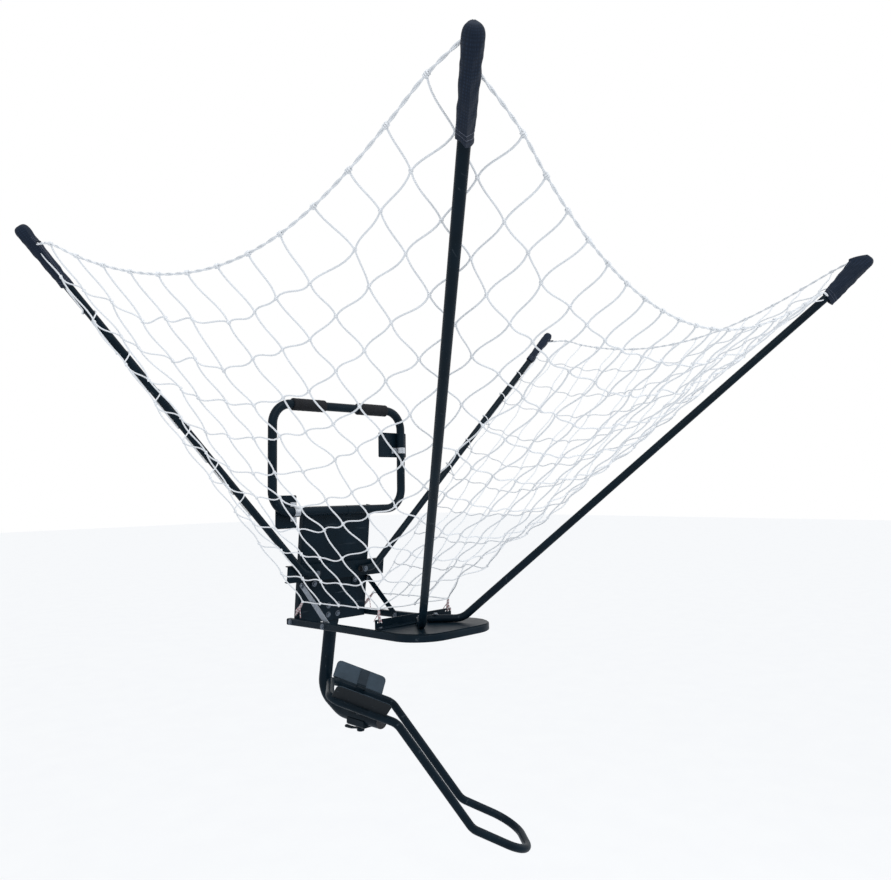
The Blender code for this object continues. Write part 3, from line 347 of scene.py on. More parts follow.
def new_material(name):
    """A material with an empty tree but for its output and one Principled shader."""
    material = bpy.data.materials.new(name)
    material.use_nodes = True
    tree = material.node_tree
    tree.nodes.clear()
    shader = add_node(tree, "BsdfPrincipled")
    add_node(tree, "OutputMaterial", {"Surface": shader.outputs["BSDF"]})
    return material, tree, shader


def scaled(colour, share):
    """A linear colour made darker or lighter by a share, no part above one."""
    return tuple(min(1.0, part * share) for part in colour)


def powder_coat(name, colour, roughness, shade_below=1.0):
    """Polyester powder coat baked on steel: a slightly pebbled dark film.

    The pebbling breaks the highlights, a mottle varies the gloss where hands and dust have been, and thin
    scuffs show a greyer film. Given a last argument below one, faces that look down keep only that share of
    the colour: painted shade on the undersides, where less light reaches.
    """
    # Marks a metre: pebbles 2.5 mm apart, grit 0.7 mm, mottle 60 mm, and scuffs of 110 by 6 by 14 mm
    pebbles, grit, mottling, scuffing = 400.0, 1400.0, 16.0, (9.0, 160.0, 70.0)
    dark, light, chalky, dust = 0.82, 1.25, 1.8, 0.03
    material, tree, shader = new_material(name)
    spot = add_node(tree, "TexCoord")
    place = spot.outputs["Object"]
    pebble = add_node(tree, "TexNoise", {"Vector": place, "Scale": pebbles, "Detail": 2.0, "Roughness": 0.5})
    grain = add_node(tree, "TexNoise", {"Vector": place, "Scale": grit, "Detail": 1.0})
    mottle = add_node(tree, "TexNoise", {"Vector": place, "Scale": mottling, "Detail": 4.0, "Roughness": 0.6})
    drawn = add_node(tree, "Mapping", {"Vector": place, "Scale": scuffing, "Rotation": (0.5, 0.3, 0.7)})
    scuff = add_node(tree, "TexNoise", {"Vector": drawn.outputs["Vector"], "Scale": 1.0, "Detail": 3.0})
    worn = add_node(tree, "MapRange", {"Value": scuff.outputs["Fac"], "From Min": 0.66, "From Max": 0.78})
    film = add_node(tree, "ValToRGB", {"Fac": mottle.outputs["Fac"]},
                    [(0.30, scaled(colour, dark)), (0.75, scaled(colour, light))]).outputs["Color"]
    # Painted shade: faces that look down are darkened to the given share of the colour, by the height of their
    # normal
    if shade_below < 1:
        rise = add_node(tree, "SeparateXYZ", {"Vector": spot.outputs["Normal"]})
        toned = add_node(tree, "MapRange", {"Value": rise.outputs["Z"], "From Min": -0.2, "From Max": 0.2,
                                            "To Min": shade_below})
        film = add_node(tree, "VectorMath", {"Vector": film, "Scale": toned.outputs["Result"]},
                        operation="SCALE").outputs["Vector"]
    grey = tuple(part + dust for part in scaled(colour, chalky))
    mixed = add_node(tree, "Mix", {"Factor": worn.outputs["Result"], "A": film, "B": grey}, data_type="RGBA")
    gloss = add_node(tree, "MapRange", {"Value": mottle.outputs["Fac"], "To Min": roughness - 0.07,
                                        "To Max": roughness + 0.12})
    fine = add_node(tree, "Bump", {"Height": grain.outputs["Fac"], "Strength": 0.12, "Distance": 0.0002})
    bump = add_node(tree, "Bump", {"Height": pebble.outputs["Fac"], "Strength": 0.22, "Distance": 0.0005,
                                   "Normal": fine.outputs["Normal"]})
    set_inputs(shader, {"Base Color": mixed.outputs["Result"], "Roughness": gloss.outputs["Result"],
                        "Specular IOR Level": 0.07, "Normal": bump.outputs["Normal"]})
    return material


def zinc_plate(name, colour, roughness):
    """Bright zinc plating on steel: cool silver with clouds of dulled passivation and fine rolling lines."""
    # Marks a metre: clouds 6 mm apart, and rolling lines 17 mm long and 1.1 mm apart
    clouds, rolling = 160.0, (60.0, 900.0, 300.0)
    material, tree, shader = new_material(name)
    place = add_node(tree, "TexCoord").outputs["Object"]
    cloud = add_node(tree, "TexNoise", {"Vector": place, "Scale": clouds, "Detail": 4.0, "Roughness": 0.65})
    lines = add_node(tree, "Mapping", {"Vector": place, "Scale": rolling})
    rolled = add_node(tree, "TexNoise", {"Vector": lines.outputs["Vector"], "Scale": 1.0, "Detail": 2.0})
    silver = add_node(tree, "ValToRGB", {"Fac": cloud.outputs["Fac"]},
                      [(0.35, scaled(colour, 0.72)), (0.70, scaled(colour, 1.12))])
    gloss = add_node(tree, "MapRange", {"Value": cloud.outputs["Fac"], "To Min": roughness + 0.10,
                                        "To Max": roughness - 0.06})
    bump = add_node(tree, "Bump", {"Height": rolled.outputs["Fac"], "Strength": 0.15, "Distance": 0.0002})
    set_inputs(shader, {"Base Color": silver.outputs["Color"], "Metallic": 1.0,
                        "Roughness": gloss.outputs["Result"], "Normal": bump.outputs["Normal"]})
    return material


def foam_rubber(name, colour):
    """Closed-cell EPDM rubber: matte black with small pores and a skin greyed by dust."""
    pores, dust = 1200.0, 45.0  # a metre: pores 0.8 mm apart, patches of dust 22 mm
    material, tree, shader = new_material(name)
    place = add_node(tree, "TexCoord").outputs["Object"]
    pore = add_node(tree, "TexVoronoi", {"Vector": place, "Scale": pores})
    patch = add_node(tree, "TexNoise", {"Vector": place, "Scale": dust, "Detail": 5.0})
    black = add_node(tree, "ValToRGB", {"Fac": patch.outputs["Fac"]},
                     [(0.35, colour), (0.80, scaled(colour, 2.2))])
    bump = add_node(tree, "Bump", {"Height": pore.outputs["Distance"], "Strength": 0.5, "Distance": 0.0004})
    set_inputs(shader, {"Base Color": black.outputs["Color"], "Roughness": 0.82, "Specular IOR Level": 0.25,
                        "Normal": bump.outputs["Normal"]})
    return material


def moulded_plastic(name, colour):
    """Injection-moulded polyethylene: black plugs with a faint spark-eroded grain."""
    grains = 650.0  # a metre: 1.5 mm apart
    material, tree, shader = new_material(name)
    place = add_node(tree, "TexCoord").outputs["Object"]
    grain = add_node(tree, "TexNoise", {"Vector": place, "Scale": grains, "Detail": 3.0})
    black = add_node(tree, "ValToRGB", {"Fac": grain.outputs["Fac"]},
                     [(0.30, scaled(colour, 0.8)), (0.70, scaled(colour, 1.3))])
    bump = add_node(tree, "Bump", {"Height": grain.outputs["Fac"], "Strength": 0.3, "Distance": 0.0003})
    set_inputs(shader, {"Base Color": black.outputs["Color"], "Roughness": 0.5, "IOR": 1.51,
                        "Normal": bump.outputs["Normal"]})
    return material


def twisted_twine(name, colour, tracer=None):
    """Three-ply white polyester twine: the plies wind round it once in a lay, and the grooves between them are
    darkened as painted shade.

    The twist is drawn on the cord's own map, u once round and v in metres, as the sine of three turns of u
    plus three of v over the lay. A tracer colours one ply.
    """
    plies, lay = 3.0, 0.010
    soiling, fibres = 22.0, 1500.0  # a metre: soil 45 mm apart, fibres 0.7 mm
    material, tree, shader = new_material(name)
    uv = add_node(tree, "UVMap", uv_map="around").outputs["UV"]
    parts = add_node(tree, "SeparateXYZ", {"Vector": uv})
    along = add_node(tree, "Math", {0: parts.outputs["Y"], 1: plies / lay}, operation="MULTIPLY")
    around = add_node(tree, "Math", {0: parts.outputs["X"], 1: plies}, operation="MULTIPLY")
    phase = add_node(tree, "Math", {0: along.outputs[0], 1: around.outputs[0]}, operation="ADD")
    angle = add_node(tree, "Math", {0: phase.outputs[0], 1: math.tau}, operation="MULTIPLY")
    ply = add_node(tree, "Math", {0: angle.outputs[0]}, operation="SINE")
    height = add_node(tree, "MapRange", {"Value": ply.outputs[0], "From Min": -1.0, "From Max": 0.2})
    place = add_node(tree, "TexCoord").outputs["Object"]
    soil = add_node(tree, "TexNoise", {"Vector": place, "Scale": soiling, "Detail": 4.0})
    fibre = add_node(tree, "TexNoise", {"Vector": place, "Scale": fibres, "Detail": 2.0})
    crown = add_node(tree, "ValToRGB", {"Fac": soil.outputs["Fac"]},
                     [(0.35, scaled(colour, 0.86)), (0.75, colour)])
    # Painted shade: the grooves get 0.68 of the colour, the crowns of the plies the soiled colour
    result = add_node(tree, "Mix", {"Factor": height.outputs["Result"], "A": scaled(colour, 0.68),
                                    "B": crown.outputs["Color"]}, data_type="RGBA").outputs["Result"]
    if tracer:
        turns = add_node(tree, "Math", {0: phase.outputs[0], 1: 1 / plies}, operation="MULTIPLY")
        part = add_node(tree, "Math", {0: turns.outputs[0]}, operation="FRACT")
        marked = add_node(tree, "Math", {0: part.outputs[0], 1: 0.33}, operation="LESS_THAN")
        result = add_node(tree, "Mix", {"Factor": marked.outputs[0], "A": result, "B": tracer},
                          data_type="RGBA").outputs["Result"]
    fuzz = add_node(tree, "Bump", {"Height": fibre.outputs["Fac"], "Strength": 0.25, "Distance": 0.0002})
    bump = add_node(tree, "Bump", {"Height": height.outputs["Result"], "Strength": 0.5, "Distance": 0.0004,
                                   "Normal": fuzz.outputs["Normal"]})
    set_inputs(shader, {"Base Color": result, "Roughness": 0.78, "Sheen Weight": 0.25, "Sheen Roughness": 0.5,
                        "Normal": bump.outputs["Normal"]})
    return material


def woven_polyester(name, colour):
    """Coated polyester pack cloth: a plain weave with a soft sheen and faded creases.

    The weave is the product of two sine waves, each two yarns long, on the sleeve's map, whose u runs 104 mm
    round it and whose v is in metres. The real yarns are 0.5 mm; they are drawn 2.4 mm wide so that they show.
    """
    girth, yarn, fading = 0.104, 0.0024, 28.0  # fading: patches a metre, 36 mm apart
    waves = math.tau / 20 / (2 * yarn)  # a wave texture has 20 / tau waves in a unit
    material, tree, shader = new_material(name)
    uv = add_node(tree, "UVMap", uv_map="around").outputs["UV"]
    flat = add_node(tree, "Mapping", {"Vector": uv, "Scale": (girth, 1.0, 1.0)}).outputs["Vector"]
    warp, weft = (add_node(tree, "TexWave", {"Vector": flat, "Scale": waves, "Distortion": 0.0, "Detail": 1.0},
                           bands_direction=way).outputs["Fac"] for way in "XY")
    weave = add_node(tree, "Math", {0: warp, 1: weft}, operation="MULTIPLY")
    place = add_node(tree, "TexCoord").outputs["Object"]
    fade = add_node(tree, "TexNoise", {"Vector": place, "Scale": fading, "Detail": 4.0, "Roughness": 0.6})
    toned = add_node(tree, "ValToRGB", {"Fac": fade.outputs["Fac"]},
                     [(0.35, scaled(colour, 0.75)), (0.80, scaled(colour, 1.5))])
    # Painted shade: between the yarns, where the weave is low, the cloth darkens to 0.55 of its colour
    shade = add_node(tree, "Mix", {"Factor": weave.outputs[0], "A": scaled(colour, 0.55),
                                   "B": toned.outputs["Color"]}, data_type="RGBA")
    bump = add_node(tree, "Bump", {"Height": weave.outputs[0], "Strength": 0.5, "Distance": 0.0004})
    set_inputs(shader, {"Base Color": shade.outputs["Result"], "Roughness": 0.85, "Specular IOR Level": 0.2,
                        "Sheen Weight": 0.06, "Sheen Roughness": 0.45, "Normal": bump.outputs["Normal"]})
    return material


def looks(name):
    """The material of a finish, made the first time that it is asked for."""
    made = bpy.data.materials.get(name)
    if made:
        return made
    steel, net = settings()
    makers = {
        "powder_coat_navy": lambda: powder_coat(name, tuple(steel.paint), 0.36),
        # The wings' paint keeps its light tone, a painted highlight, on upper faces and 0.14 of it, painted
        # shade, on downward faces; the strap tails' copy is darker and has painted shade below too
        "powder_coat_slate": lambda: powder_coat(name, tuple(steel.chute_paint), 0.46, 0.14),
        "powder_coat_slate_shaded": lambda: powder_coat(name, scaled(steel.chute_paint, 0.55), 0.46, 0.3),
        "zinc_plate_bright": lambda: zinc_plate(name, linear("#B9BEC4"), 0.34),
        "zinc_plate_dull": lambda: zinc_plate(name, linear("#8C939C"), 0.42),
        "bolt_steel_zinc": lambda: zinc_plate(name, linear("#626A74"), 0.34),
        "foam_rubber_black": lambda: foam_rubber(name, linear("#0C0E12")),
        "polyethylene_black": lambda: moulded_plastic(name, linear("#14161A")),
        "polyester_twine_white": lambda: twisted_twine(name, tuple(net.colour)),
        "utility_cord_tracer": lambda: twisted_twine(name, linear("#DAD6D6"), linear("#9C4A4E")),
        "pack_cloth_navy": lambda: woven_polyester(name, tuple(net.fabric)),
        "sewing_thread_grey": lambda: moulded_plastic(name, linear("#4A5060")),
    }
    return makers[name]()


class Skin:
    """Gathers grids of points into one mesh with a map: u once round each row, v the metres along the rows."""

    def __init__(self):
        self.points, self.faces, self.uvs, self.count = [], [], [], 0

    def grid(self, points, around=True, closed=False, caps=True, flip=False):
        """Adds grids of shape (..., rows, columns, 3). Quads join each point with the next one in its row and
        in the next row; around joins the last column with the first, closed the last row with the first, and
        caps closes the two end rows with one face each."""
        points = np.asarray(points, float)
        points = points.reshape(-1, *points.shape[-3:])
        many, rows, columns = points.shape[:3]
        index = self.count + np.arange(many * rows * columns).reshape(many, rows, columns)
        row, column = np.meshgrid(np.arange(rows if closed else rows - 1),
                                  np.arange(columns if around else columns - 1), indexing="ij")
        row_on, column_on = (row + 1) % rows, (column + 1) % columns
        quads = np.stack([index[:, row, column], index[:, row, column_on],
                          index[:, row_on, column_on], index[:, row_on, column]], -1)
        centre = points.mean(2)
        steps = np.linalg.norm(np.diff(np.concatenate([centre, centre[:, :1]], 1), axis=1), axis=-1)
        run = np.concatenate([np.zeros((many, 1)), np.cumsum(steps, 1)], 1)
        u = np.broadcast_to(np.stack([column, column + 1, column + 1, column], -1) / columns, quads.shape)
        v = np.stack([run[:, row], run[:, row], run[:, row + 1], run[:, row + 1]], -1)
        uv = np.stack([u, v], -1)
        if flip:
            quads, uv = quads[..., ::-1], uv[..., ::-1, :]
        self.points.append(points.reshape(-1, 3))
        self.faces += quads.reshape(-1, 4).tolist()
        self.uvs.append(uv.reshape(-1, 2))
        if caps and not closed:
            ends = np.concatenate([index[:, 0, ::-1], index[:, -1]])
            if flip:
                ends = ends[:, ::-1]
            self.faces += ends.tolist()
            self.uvs.append(np.zeros((ends.size, 2)))
        self.count += many * rows * columns
        return self

    def build(self, name, look, body, nodes=(), slot=None, sharp=40.0):
        """Makes the piece: smooth but for edges sharper than the given degrees."""
        mesh = bpy.data.meshes.new(name)
        mesh.from_pydata(np.concatenate(self.points), [], self.faces)
        layer = mesh.uv_layers.new(name="around")
        layer.data.foreach_set("uv", np.concatenate(self.uvs).astype(np.float32).ravel())
        return placed(name, mesh, look, body, nodes, sharp)


def placed(name, mesh, look, body, nodes=(), sharp=40.0):
    """Links a mesh as a piece that rides on a body and stands for CAD nodes."""
    mesh.shade_smooth()
    mesh.set_sharp_from_angle(angle=math.radians(sharp))
    mesh.materials.append(looks(look))
    piece = bpy.data.objects.new(name, mesh)
    bpy.context.scene.collection.objects.link(piece)
    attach(piece, body)
    if nodes:
        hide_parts(*nodes)
    return piece


def frames(paths, up, closed=False):
    """The unit tangent, side and normal at each point of paths of shape (..., rows, 3).

    The tangent is the difference of the two neighbours, the normal is up less its share along the tangent,
    and the side is the normal crossed with the tangent.
    """
    if closed:
        tangent = np.roll(paths, -1, -2) - np.roll(paths, 1, -2)
    else:
        tangent = np.gradient(paths, axis=-2)
    tangent = unit(tangent)
    up = np.broadcast_to(np.asarray(up, float), paths.shape)
    normal = unit(up - tangent * (up * tangent).sum(-1, keepdims=True))
    return tangent, np.cross(normal, tangent), normal


def carried(paths, sections, up, closed=False):
    """A section carried along paths: each point is the path's, plus side times a, plus normal times b."""
    paths, sections = np.asarray(paths, float), np.asarray(sections, float)
    _, side, normal = frames(paths, up, closed)
    a, b = sections[..., 0, None], sections[..., 1, None]
    return paths[..., None, :] + side[..., None, :] * a + normal[..., None, :] * b


def ring(radius, steps=ROUND):
    """Points (radius cos t, radius sin t) for t once round."""
    t = math.tau * np.arange(steps) / steps
    return np.stack([np.cos(t), np.sin(t)], -1) * np.asarray(radius, float)[..., None, None]


def round_box(width, height, radius, steps=5):
    """A rectangle with round corners: four quarter circles, each about its own corner's centre."""
    t = np.arange(4 * (steps + 1))
    quarter = t // (steps + 1)
    angle = math.pi / 2 * (quarter + (t % (steps + 1)) / steps)
    right, up = np.array([1, -1, -1, 1])[quarter], np.array([1, 1, -1, -1])[quarter]
    return np.stack([right * (width / 2 - radius) + radius * np.cos(angle),
                     up * (height / 2 - radius) + radius * np.sin(angle)], -1)


def filleted(corners, radii, closed=False, steps=BEND):
    """The path through corners with each bend an arc of its radius.

    An arc's centre lies on the bisector at radius over sin(half angle), and its points turn evenly from
    the foot on one leg to the foot on the other.
    """
    corners = [np.asarray(corner, float) for corner in corners]
    parts = []
    for index, corner in enumerate(corners):
        if not closed and index in (0, len(corners) - 1):
            parts.append(corner[None])
            continue
        back = unit(corners[index - 1] - corner)
        ahead = unit(corners[(index + 1) % len(corners)] - corner)
        half = math.acos(np.clip(back @ ahead, -1, 1)) / 2
        centre = corner + unit(back + ahead) * radii[index] / math.sin(half)
        first = corner + back * radii[index] / math.tan(half) - centre
        last = corner + ahead * radii[index] / math.tan(half) - centre
        whole = math.pi - 2 * half
        share = np.linspace(0, 1, steps + 1)[:, None]
        spokes = first * np.sin((1 - share) * whole) + last * np.sin(share * whole)
        parts.append(centre + spokes / math.sin(whole))
    return np.concatenate(parts)


def turned(profile, origin, axis, steps=ROUND):
    """A profile of (radius, height) turned about an axis: origin, plus height along the axis, plus a ring."""
    profile = np.asarray(profile, float)
    axis, side, normal = axes_about(axis)
    t = math.tau * np.arange(steps) / steps
    spokes = np.cos(t)[:, None] * side + np.sin(t)[:, None] * normal
    return origin + profile[:, 1, None, None] * axis + profile[:, 0, None, None] * spokes


def dressed(name, look, body, edge=None):
    """A CAD sheet's own shape, merged from its loose triangles and given round edges."""
    merge, flat, square = 2e-5, math.radians(1), math.radians(40)
    shape = bmesh.new()
    shape.from_mesh(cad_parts[name].data)
    bmesh.ops.remove_doubles(shape, verts=shape.verts, dist=merge)
    bmesh.ops.dissolve_limit(shape, angle_limit=flat, verts=shape.verts, edges=shape.edges)
    mesh = bpy.data.meshes.new(name)
    shape.to_mesh(mesh)
    shape.free()
    while mesh.uv_layers:
        mesh.uv_layers.remove(mesh.uv_layers[0])
    piece = placed(name + "_dressed", mesh, look, body, [name], 30.0)
    bevel = piece.modifiers.new("round edges", "BEVEL")
    bevel.width = edge or settings()[0].edge
    bevel.segments = 2
    bevel.limit_method, bevel.angle_limit = "ANGLE", square
    bevel.use_clamp_overlap = bevel.harden_normals = False
    return piece


def run_of(points):
    """The length of a path from its start to each of its points."""
    return np.concatenate([[0], np.cumsum(np.linalg.norm(np.diff(points, axis=0), axis=1))])


def weld(skin, path, radius, up=Z):
    """A weld bead: a tube along a path, drawn in at its ends. Its radius is the given one times 0.9 plus a
    fifth of the sine of the run over the ripple, which gives the torch's ripples."""
    ripple, step = 0.003, 0.001
    path = np.asarray(path, float)
    run = run_of(path)
    at = np.linspace(0, run[-1], max(8, int(run[-1] / step)))
    points = np.stack([np.interp(at, run, path[:, axis]) for axis in range(3)], -1)
    ends = np.clip(np.sin(math.pi * np.clip(at / run[-1], 0.004, 0.996)) * 6, 0.3, 1)
    radii = radius * (0.9 + 0.2 * np.abs(np.sin(math.pi * at / ripple))) * ends
    skin.grid(carried(points, ring(radii, 8), up))


def plugged(skin, origin, out, radius):
    """A tube end's plug: a profile of (radius, height) turned about the tube, with a collar on the tube's edge
    and a shallow dished middle."""
    wall, collar, lip = 0.0015, 0.0016, 0.0006
    skin.grid(turned([(radius * 0.2, 0), (radius - wall * 2.4, 0.0003), (radius - wall * 1.8, collar),
                      (radius - 0.0004, collar), (radius - 0.0002, lip)], origin, out))


def build_hanger_loop():
    """The loop: a ring carried round a rectangle with round corners. With it come the frame's weld beads,
    along the edges where its pieces meet."""
    corners = [(LOOP_HALF_WIDTH, 0, 0), (LOOP_HALF_WIDTH, 0, -LOOP_DROP),
               (-LOOP_HALF_WIDTH, 0, -LOOP_DROP), (-LOOP_HALF_WIDTH, 0, 0)]
    path = filleted(corners, [LOOP_CORNER] * 4, closed=True)
    skin = Skin().grid(carried(path, ring(LOOP_TUBE / 2), Y, closed=True), closed=True)
    skin.build("hanger_loop_tube", "powder_coat_navy", "frame", ["hanger_loop"], "frame_paint")
    beads = Skin()
    radius = settings()[0].seam
    # Where the beads lie: the loop's seam, the plate's top edge, the crossbar's tabs, the plate's ears and the
    # shelf's sides
    seam_at, top_half, top_rise = 0.020, 0.120, 0.006
    tab_at, tab_half, tab_drop = 0.082, 0.013, 0.0268
    ear_at, ear_low, ear_high = 0.1319, -0.2425, -0.2225
    side_inset, side_end = 0.013, 0.480
    t = math.tau * np.linspace(0, 1, 40)
    seam = np.stack([0 * t + seam_at, np.cos(t) * LOOP_TUBE / 2, np.sin(t) * LOOP_TUBE / 2 - LOOP_DROP], -1)
    weld(beads, seam, radius * 0.8, X)
    top = on_plate([[x, PLATE_FRONT, top_rise] for x in (-top_half, top_half)])
    weld(beads, top - Y * 0.001, radius)
    for sign in (-1, 1):
        tab = [[sign * tab_at + x, PLATE_FRONT - GAP - 0.0015, -CROSSBAR_DROP - tab_drop]
               for x in (-tab_half, tab_half)]
        weld(beads, on_plate(tab), radius)
        ear = [[sign * ear_at, PLATE_FRONT - 0.0012, z] for z in (ear_low, ear_high)]
        weld(beads, on_plate(ear), radius, X)
        side = [[sign * (ARM_MIDDLE - side_inset), -y, SHELF_TOP - 0.0018] for y in (NET_BAR_REACH, side_end)]
        weld(beads, on_base(side), radius)
    beads.build("frame_weld_beads", "powder_coat_navy", "frame", slot="frame_paint")


def build_hanger_sleeves():
    """Foam sleeves: rings along the top bar. Their radius is the foam's, less a quarter round at the ends, plus
    soft dents; a second grid lines the bore."""
    inner = LOOP_TUBE / 2 + 0.0004
    at = np.linspace(0, 1, 60)
    t = math.tau * np.arange(ROUND) / ROUND
    near_end = (1 - np.minimum(at, 1 - at) * FOAM_LENGTH / FOAM_ROUND).clip(0)
    rounding = FOAM_ROUND * (1 - np.sqrt(1 - near_end ** 2))
    dents = 0.0003 * np.sin(3 * t + 1)[None] * np.sin(9 * at)[:, None] + 0.00015 * np.sin(41 * at)[:, None]
    radius = (inner + FOAM_WALL - rounding)[:, None] + dents
    bore = np.broadcast_to(inner, (2, ROUND))
    for side, sign in SIDES:
        x = np.broadcast_to(sign * (FOAM_START + at * FOAM_LENGTH)[:, None], radius.shape)
        outside = np.stack([x, radius * np.cos(t), radius * np.sin(t)], -1)
        mouths = np.stack([x[[0, -1]], bore * np.cos(t), bore * np.sin(t)], -1)
        skin = Skin().grid(np.concatenate([mouths[:1], outside, mouths[1:]]), caps=False, flip=sign < 0)
        skin.grid(mouths[::-1], caps=False, flip=sign < 0)
        skin.build("hanger_foam_" + side, "foam_rubber_black", "frame", ["hanger_sleeve_" + side], "rubber")


def build_sheets():
    """The cut and folded sheets, which keep the CAD's shape."""
    plated = {"clamp_strap_left": "zinc_plate_bright", "clamp_strap_right": "zinc_plate_bright",
              "strut_left": "zinc_plate_dull"}
    for node in ("clamp_plate_left", "clamp_plate_right", "clamp_strap_left", "clamp_strap_right", "back_plate",
                 "pole_crossbar", "foot_shelf", "net_bar", "strut_left", "strut_right", "swivel_saddle"):
        if node in plated:
            dressed(node, plated[node], "frame")
        else:
            dressed(node, "powder_coat_navy", "frame")
    dressed("swivel_seat", "foam_rubber_black", "frame", SEAT_EDGE)
    for side in ("left", "right"):
        dressed("chute_wing_" + side, "powder_coat_slate", "chute")


def rear_axis():
    """How far before the loop's middle the rear poles' feet lie in the crossbar."""
    return PLATE_FRONT - GAP - CROSSBAR_DEPTH - GAP - POLE_TUBE / 2


def rear_corner(sign):
    """The corner of a rear pole's bend."""
    return on_plate([sign * REAR_FOOT_BEND, rear_axis(), -CROSSBAR_DROP])


def front_corner(sign):
    """The corner of a front pole's bend."""
    return on_base([sign * FRONT_FOOT_BEND, -FRONT_FOOT_REACH, SHELF_TOP + GAP + POLE_TUBE / 2])


def front_foot(sign):
    """The end of a front pole's foot, level on the shelf and straight behind its bend."""
    corner, tip = off_base(front_corner(sign)), off_base(sided(sign, FRONT_TIP))
    level = unit((corner - tip) * (1, 1, 0))
    return on_base(corner + level * FRONT_FOOT_LENGTH)


def pole_line(end, sign):
    """The tip and the outward direction of a pole's straight run."""
    tip = sided(sign, REAR_TIP if end == "rear" else FRONT_TIP)
    return tip, unit(tip - (rear_corner(sign) if end == "rear" else front_corner(sign)))


def build_poles():
    """The poles: a ring carried from the foot round one bend to the tip. The open tube ends get plugs, and an
    arm's plug is a flange on the square tube's end with a raised middle."""
    plugs = Skin()
    for side, sign in SIDES:
        for end in ("rear", "front"):
            tip = pole_line(end, sign)[0]
            if end == "rear":
                foot = on_plate([sign * REAR_FOOT_END, rear_axis(), -CROSSBAR_DROP])
                corner = rear_corner(sign)
            else:
                foot, corner = front_foot(sign), front_corner(sign)
            path = filleted([foot, corner, tip], [POLE_BEND] * 3)
            up = np.cross(corner - foot, tip - corner)
            name = end + "_pole_" + side
            Skin().grid(carried(path, ring(POLE_TUBE / 2), up)).build(
                name + "_tube", "powder_coat_navy", "frame", [name], "frame_paint")
            plugged(plugs, foot, foot - corner, POLE_TUBE / 2)
    plugged(plugs, np.array([0, -SUPPORT_FRONT, -SUPPORT_DROP]), -Y, SUPPORT_TUBE / 2)
    for sign in (-1, 1):
        for start, stop, inset, corner in ((-0.002, 0.0006, 0.0005, BASE_EDGE), (0.0004, 0.0010, 0.005, 0.002)):
            path = [on_base([sign * ARM_MIDDLE, BASE_TAIL + y, 0]) for y in (start, stop)]
            plugs.grid(carried(path, round_box(BASE_TUBE - inset, BASE_TUBE - inset, corner), Z))
    plugs.build("tube_end_plugs", "polyethylene_black", "frame", slot="rubber")


def build_base():
    """The base: a square section with round edges, carried round the U of the bent tube."""
    right = [(ARM_MIDDLE, BASE_TAIL, 0), (ARM_MIDDLE, -BASE_STRAIGHT, 0),
             (ARM_MIDDLE + BASE_SPLAY, -BASE_REACH, 0)]
    corners = right + [(-x, y, z) for x, y, z in reversed(right)]
    path = on_base(filleted(corners, [BASE_CORNER] * 6))
    skin = Skin().grid(carried(path, round_box(BASE_TUBE, BASE_TUBE, BASE_EDGE), Z @ BASE_TURN))
    skin.build("base_frame_tube", "powder_coat_navy", "frame", ["base_frame"], "frame_paint")


def smoothed(share):
    """A share from 0 to 1 that starts and stops gently: 3 share share - 2 share share share."""
    return share * share * (3 - 2 * share)


def support_sections(rows):
    """Sections of the support tube: a flat oval that swells to a round as the share runs from 0 to 1.

    A section is cos and sin of t times its half sizes, with the cosine raised to a power, 1 where it is round.
    """
    t = math.tau * np.arange(ROUND) / ROUND
    smooth = smoothed(rows[:, None])
    half_width = FLAT_WIDTH / 2 + (SUPPORT_TUBE - FLAT_WIDTH) / 2 * smooth
    half_depth = FLAT_DEPTH / 2 + (SUPPORT_TUBE - FLAT_DEPTH) / 2 * smooth
    power = 0.35 + 0.65 * smooth
    depth = half_depth * np.sign(np.cos(t)) * np.abs(np.cos(t)) ** power
    return np.stack([depth, half_width * np.sin(t)], -1)


def build_support_tube():
    """The support tube: its sections carried down the plate, round the elbow and the knee, and forward."""
    flat_rows, taper_rows = 6, 14
    depth = PLATE_REAR + GAP + FLAT_DEPTH / 2
    top = on_plate([0, depth, -SUPPORT_TOP_DROP])
    flat_end = on_plate([0, depth, -SUPPORT_TOP_DROP - FLAT_LENGTH])
    elbow = np.array([0, SUPPORT_BACK, -SUPPORT_ELBOW_DROP])
    knee = np.array([0, -SUPPORT_KNEE, -SUPPORT_DROP])
    front = np.array([0, -SUPPORT_FRONT, -SUPPORT_DROP])
    start = flat_end + unit(elbow - flat_end) * SUPPORT_TAPER
    bends = filleted([start, elbow, knee, front], [0, ELBOW_BEND, KNEE_BEND, 0])
    swell = np.linspace(0, 1, taper_rows)[:-1]
    flat = top + (flat_end - top) * np.linspace(0, 1, flat_rows)[:-1, None]
    path = np.concatenate([flat, flat_end + (start - flat_end) * swell[:, None], bends])
    rows = np.concatenate([np.zeros(len(flat)), swell, np.ones(len(bends))])
    skin = Skin().grid(carried(path, support_sections(rows), X))
    skin.build("support_tube_bent", "powder_coat_navy", "frame", ["support_tube"], "frame_paint")


def build_chute_rails():
    """The rails: a ring carried round one closed loop, whose two sides follow the rails' profile."""
    right = np.stack([np.full(4, RAIL_HALF_SPAN), -RAIL_PROFILE[:, 0], -RAIL_PROFILE[:, 1]], -1)
    corners = [*right, *(right * (-1, 1, 1))[::-1]]
    path = on_chute(filleted(corners, [*RAIL_RADII, *RAIL_RADII[::-1]], closed=True))
    skin = Skin().grid(carried(path, ring(RAIL_TUBE / 2), Z, closed=True), closed=True)
    skin.build("chute_rail_loop", "powder_coat_navy", "chute", ["chute_rails"], "frame_paint")


def rail_directions():
    """Where the rails' rear stretch is over the pivot, the way it runs, and the way up from it."""
    slope = unit(RAIL_PROFILE[1] - RAIL_PROFILE[0])
    level = RAIL_PROFILE[0, 1] - slope[1] / slope[0] * RAIL_PROFILE[0, 0]
    return -Z * level, np.array([0, -slope[0], -slope[1]]), np.array([0, -slope[1], slope[0]])


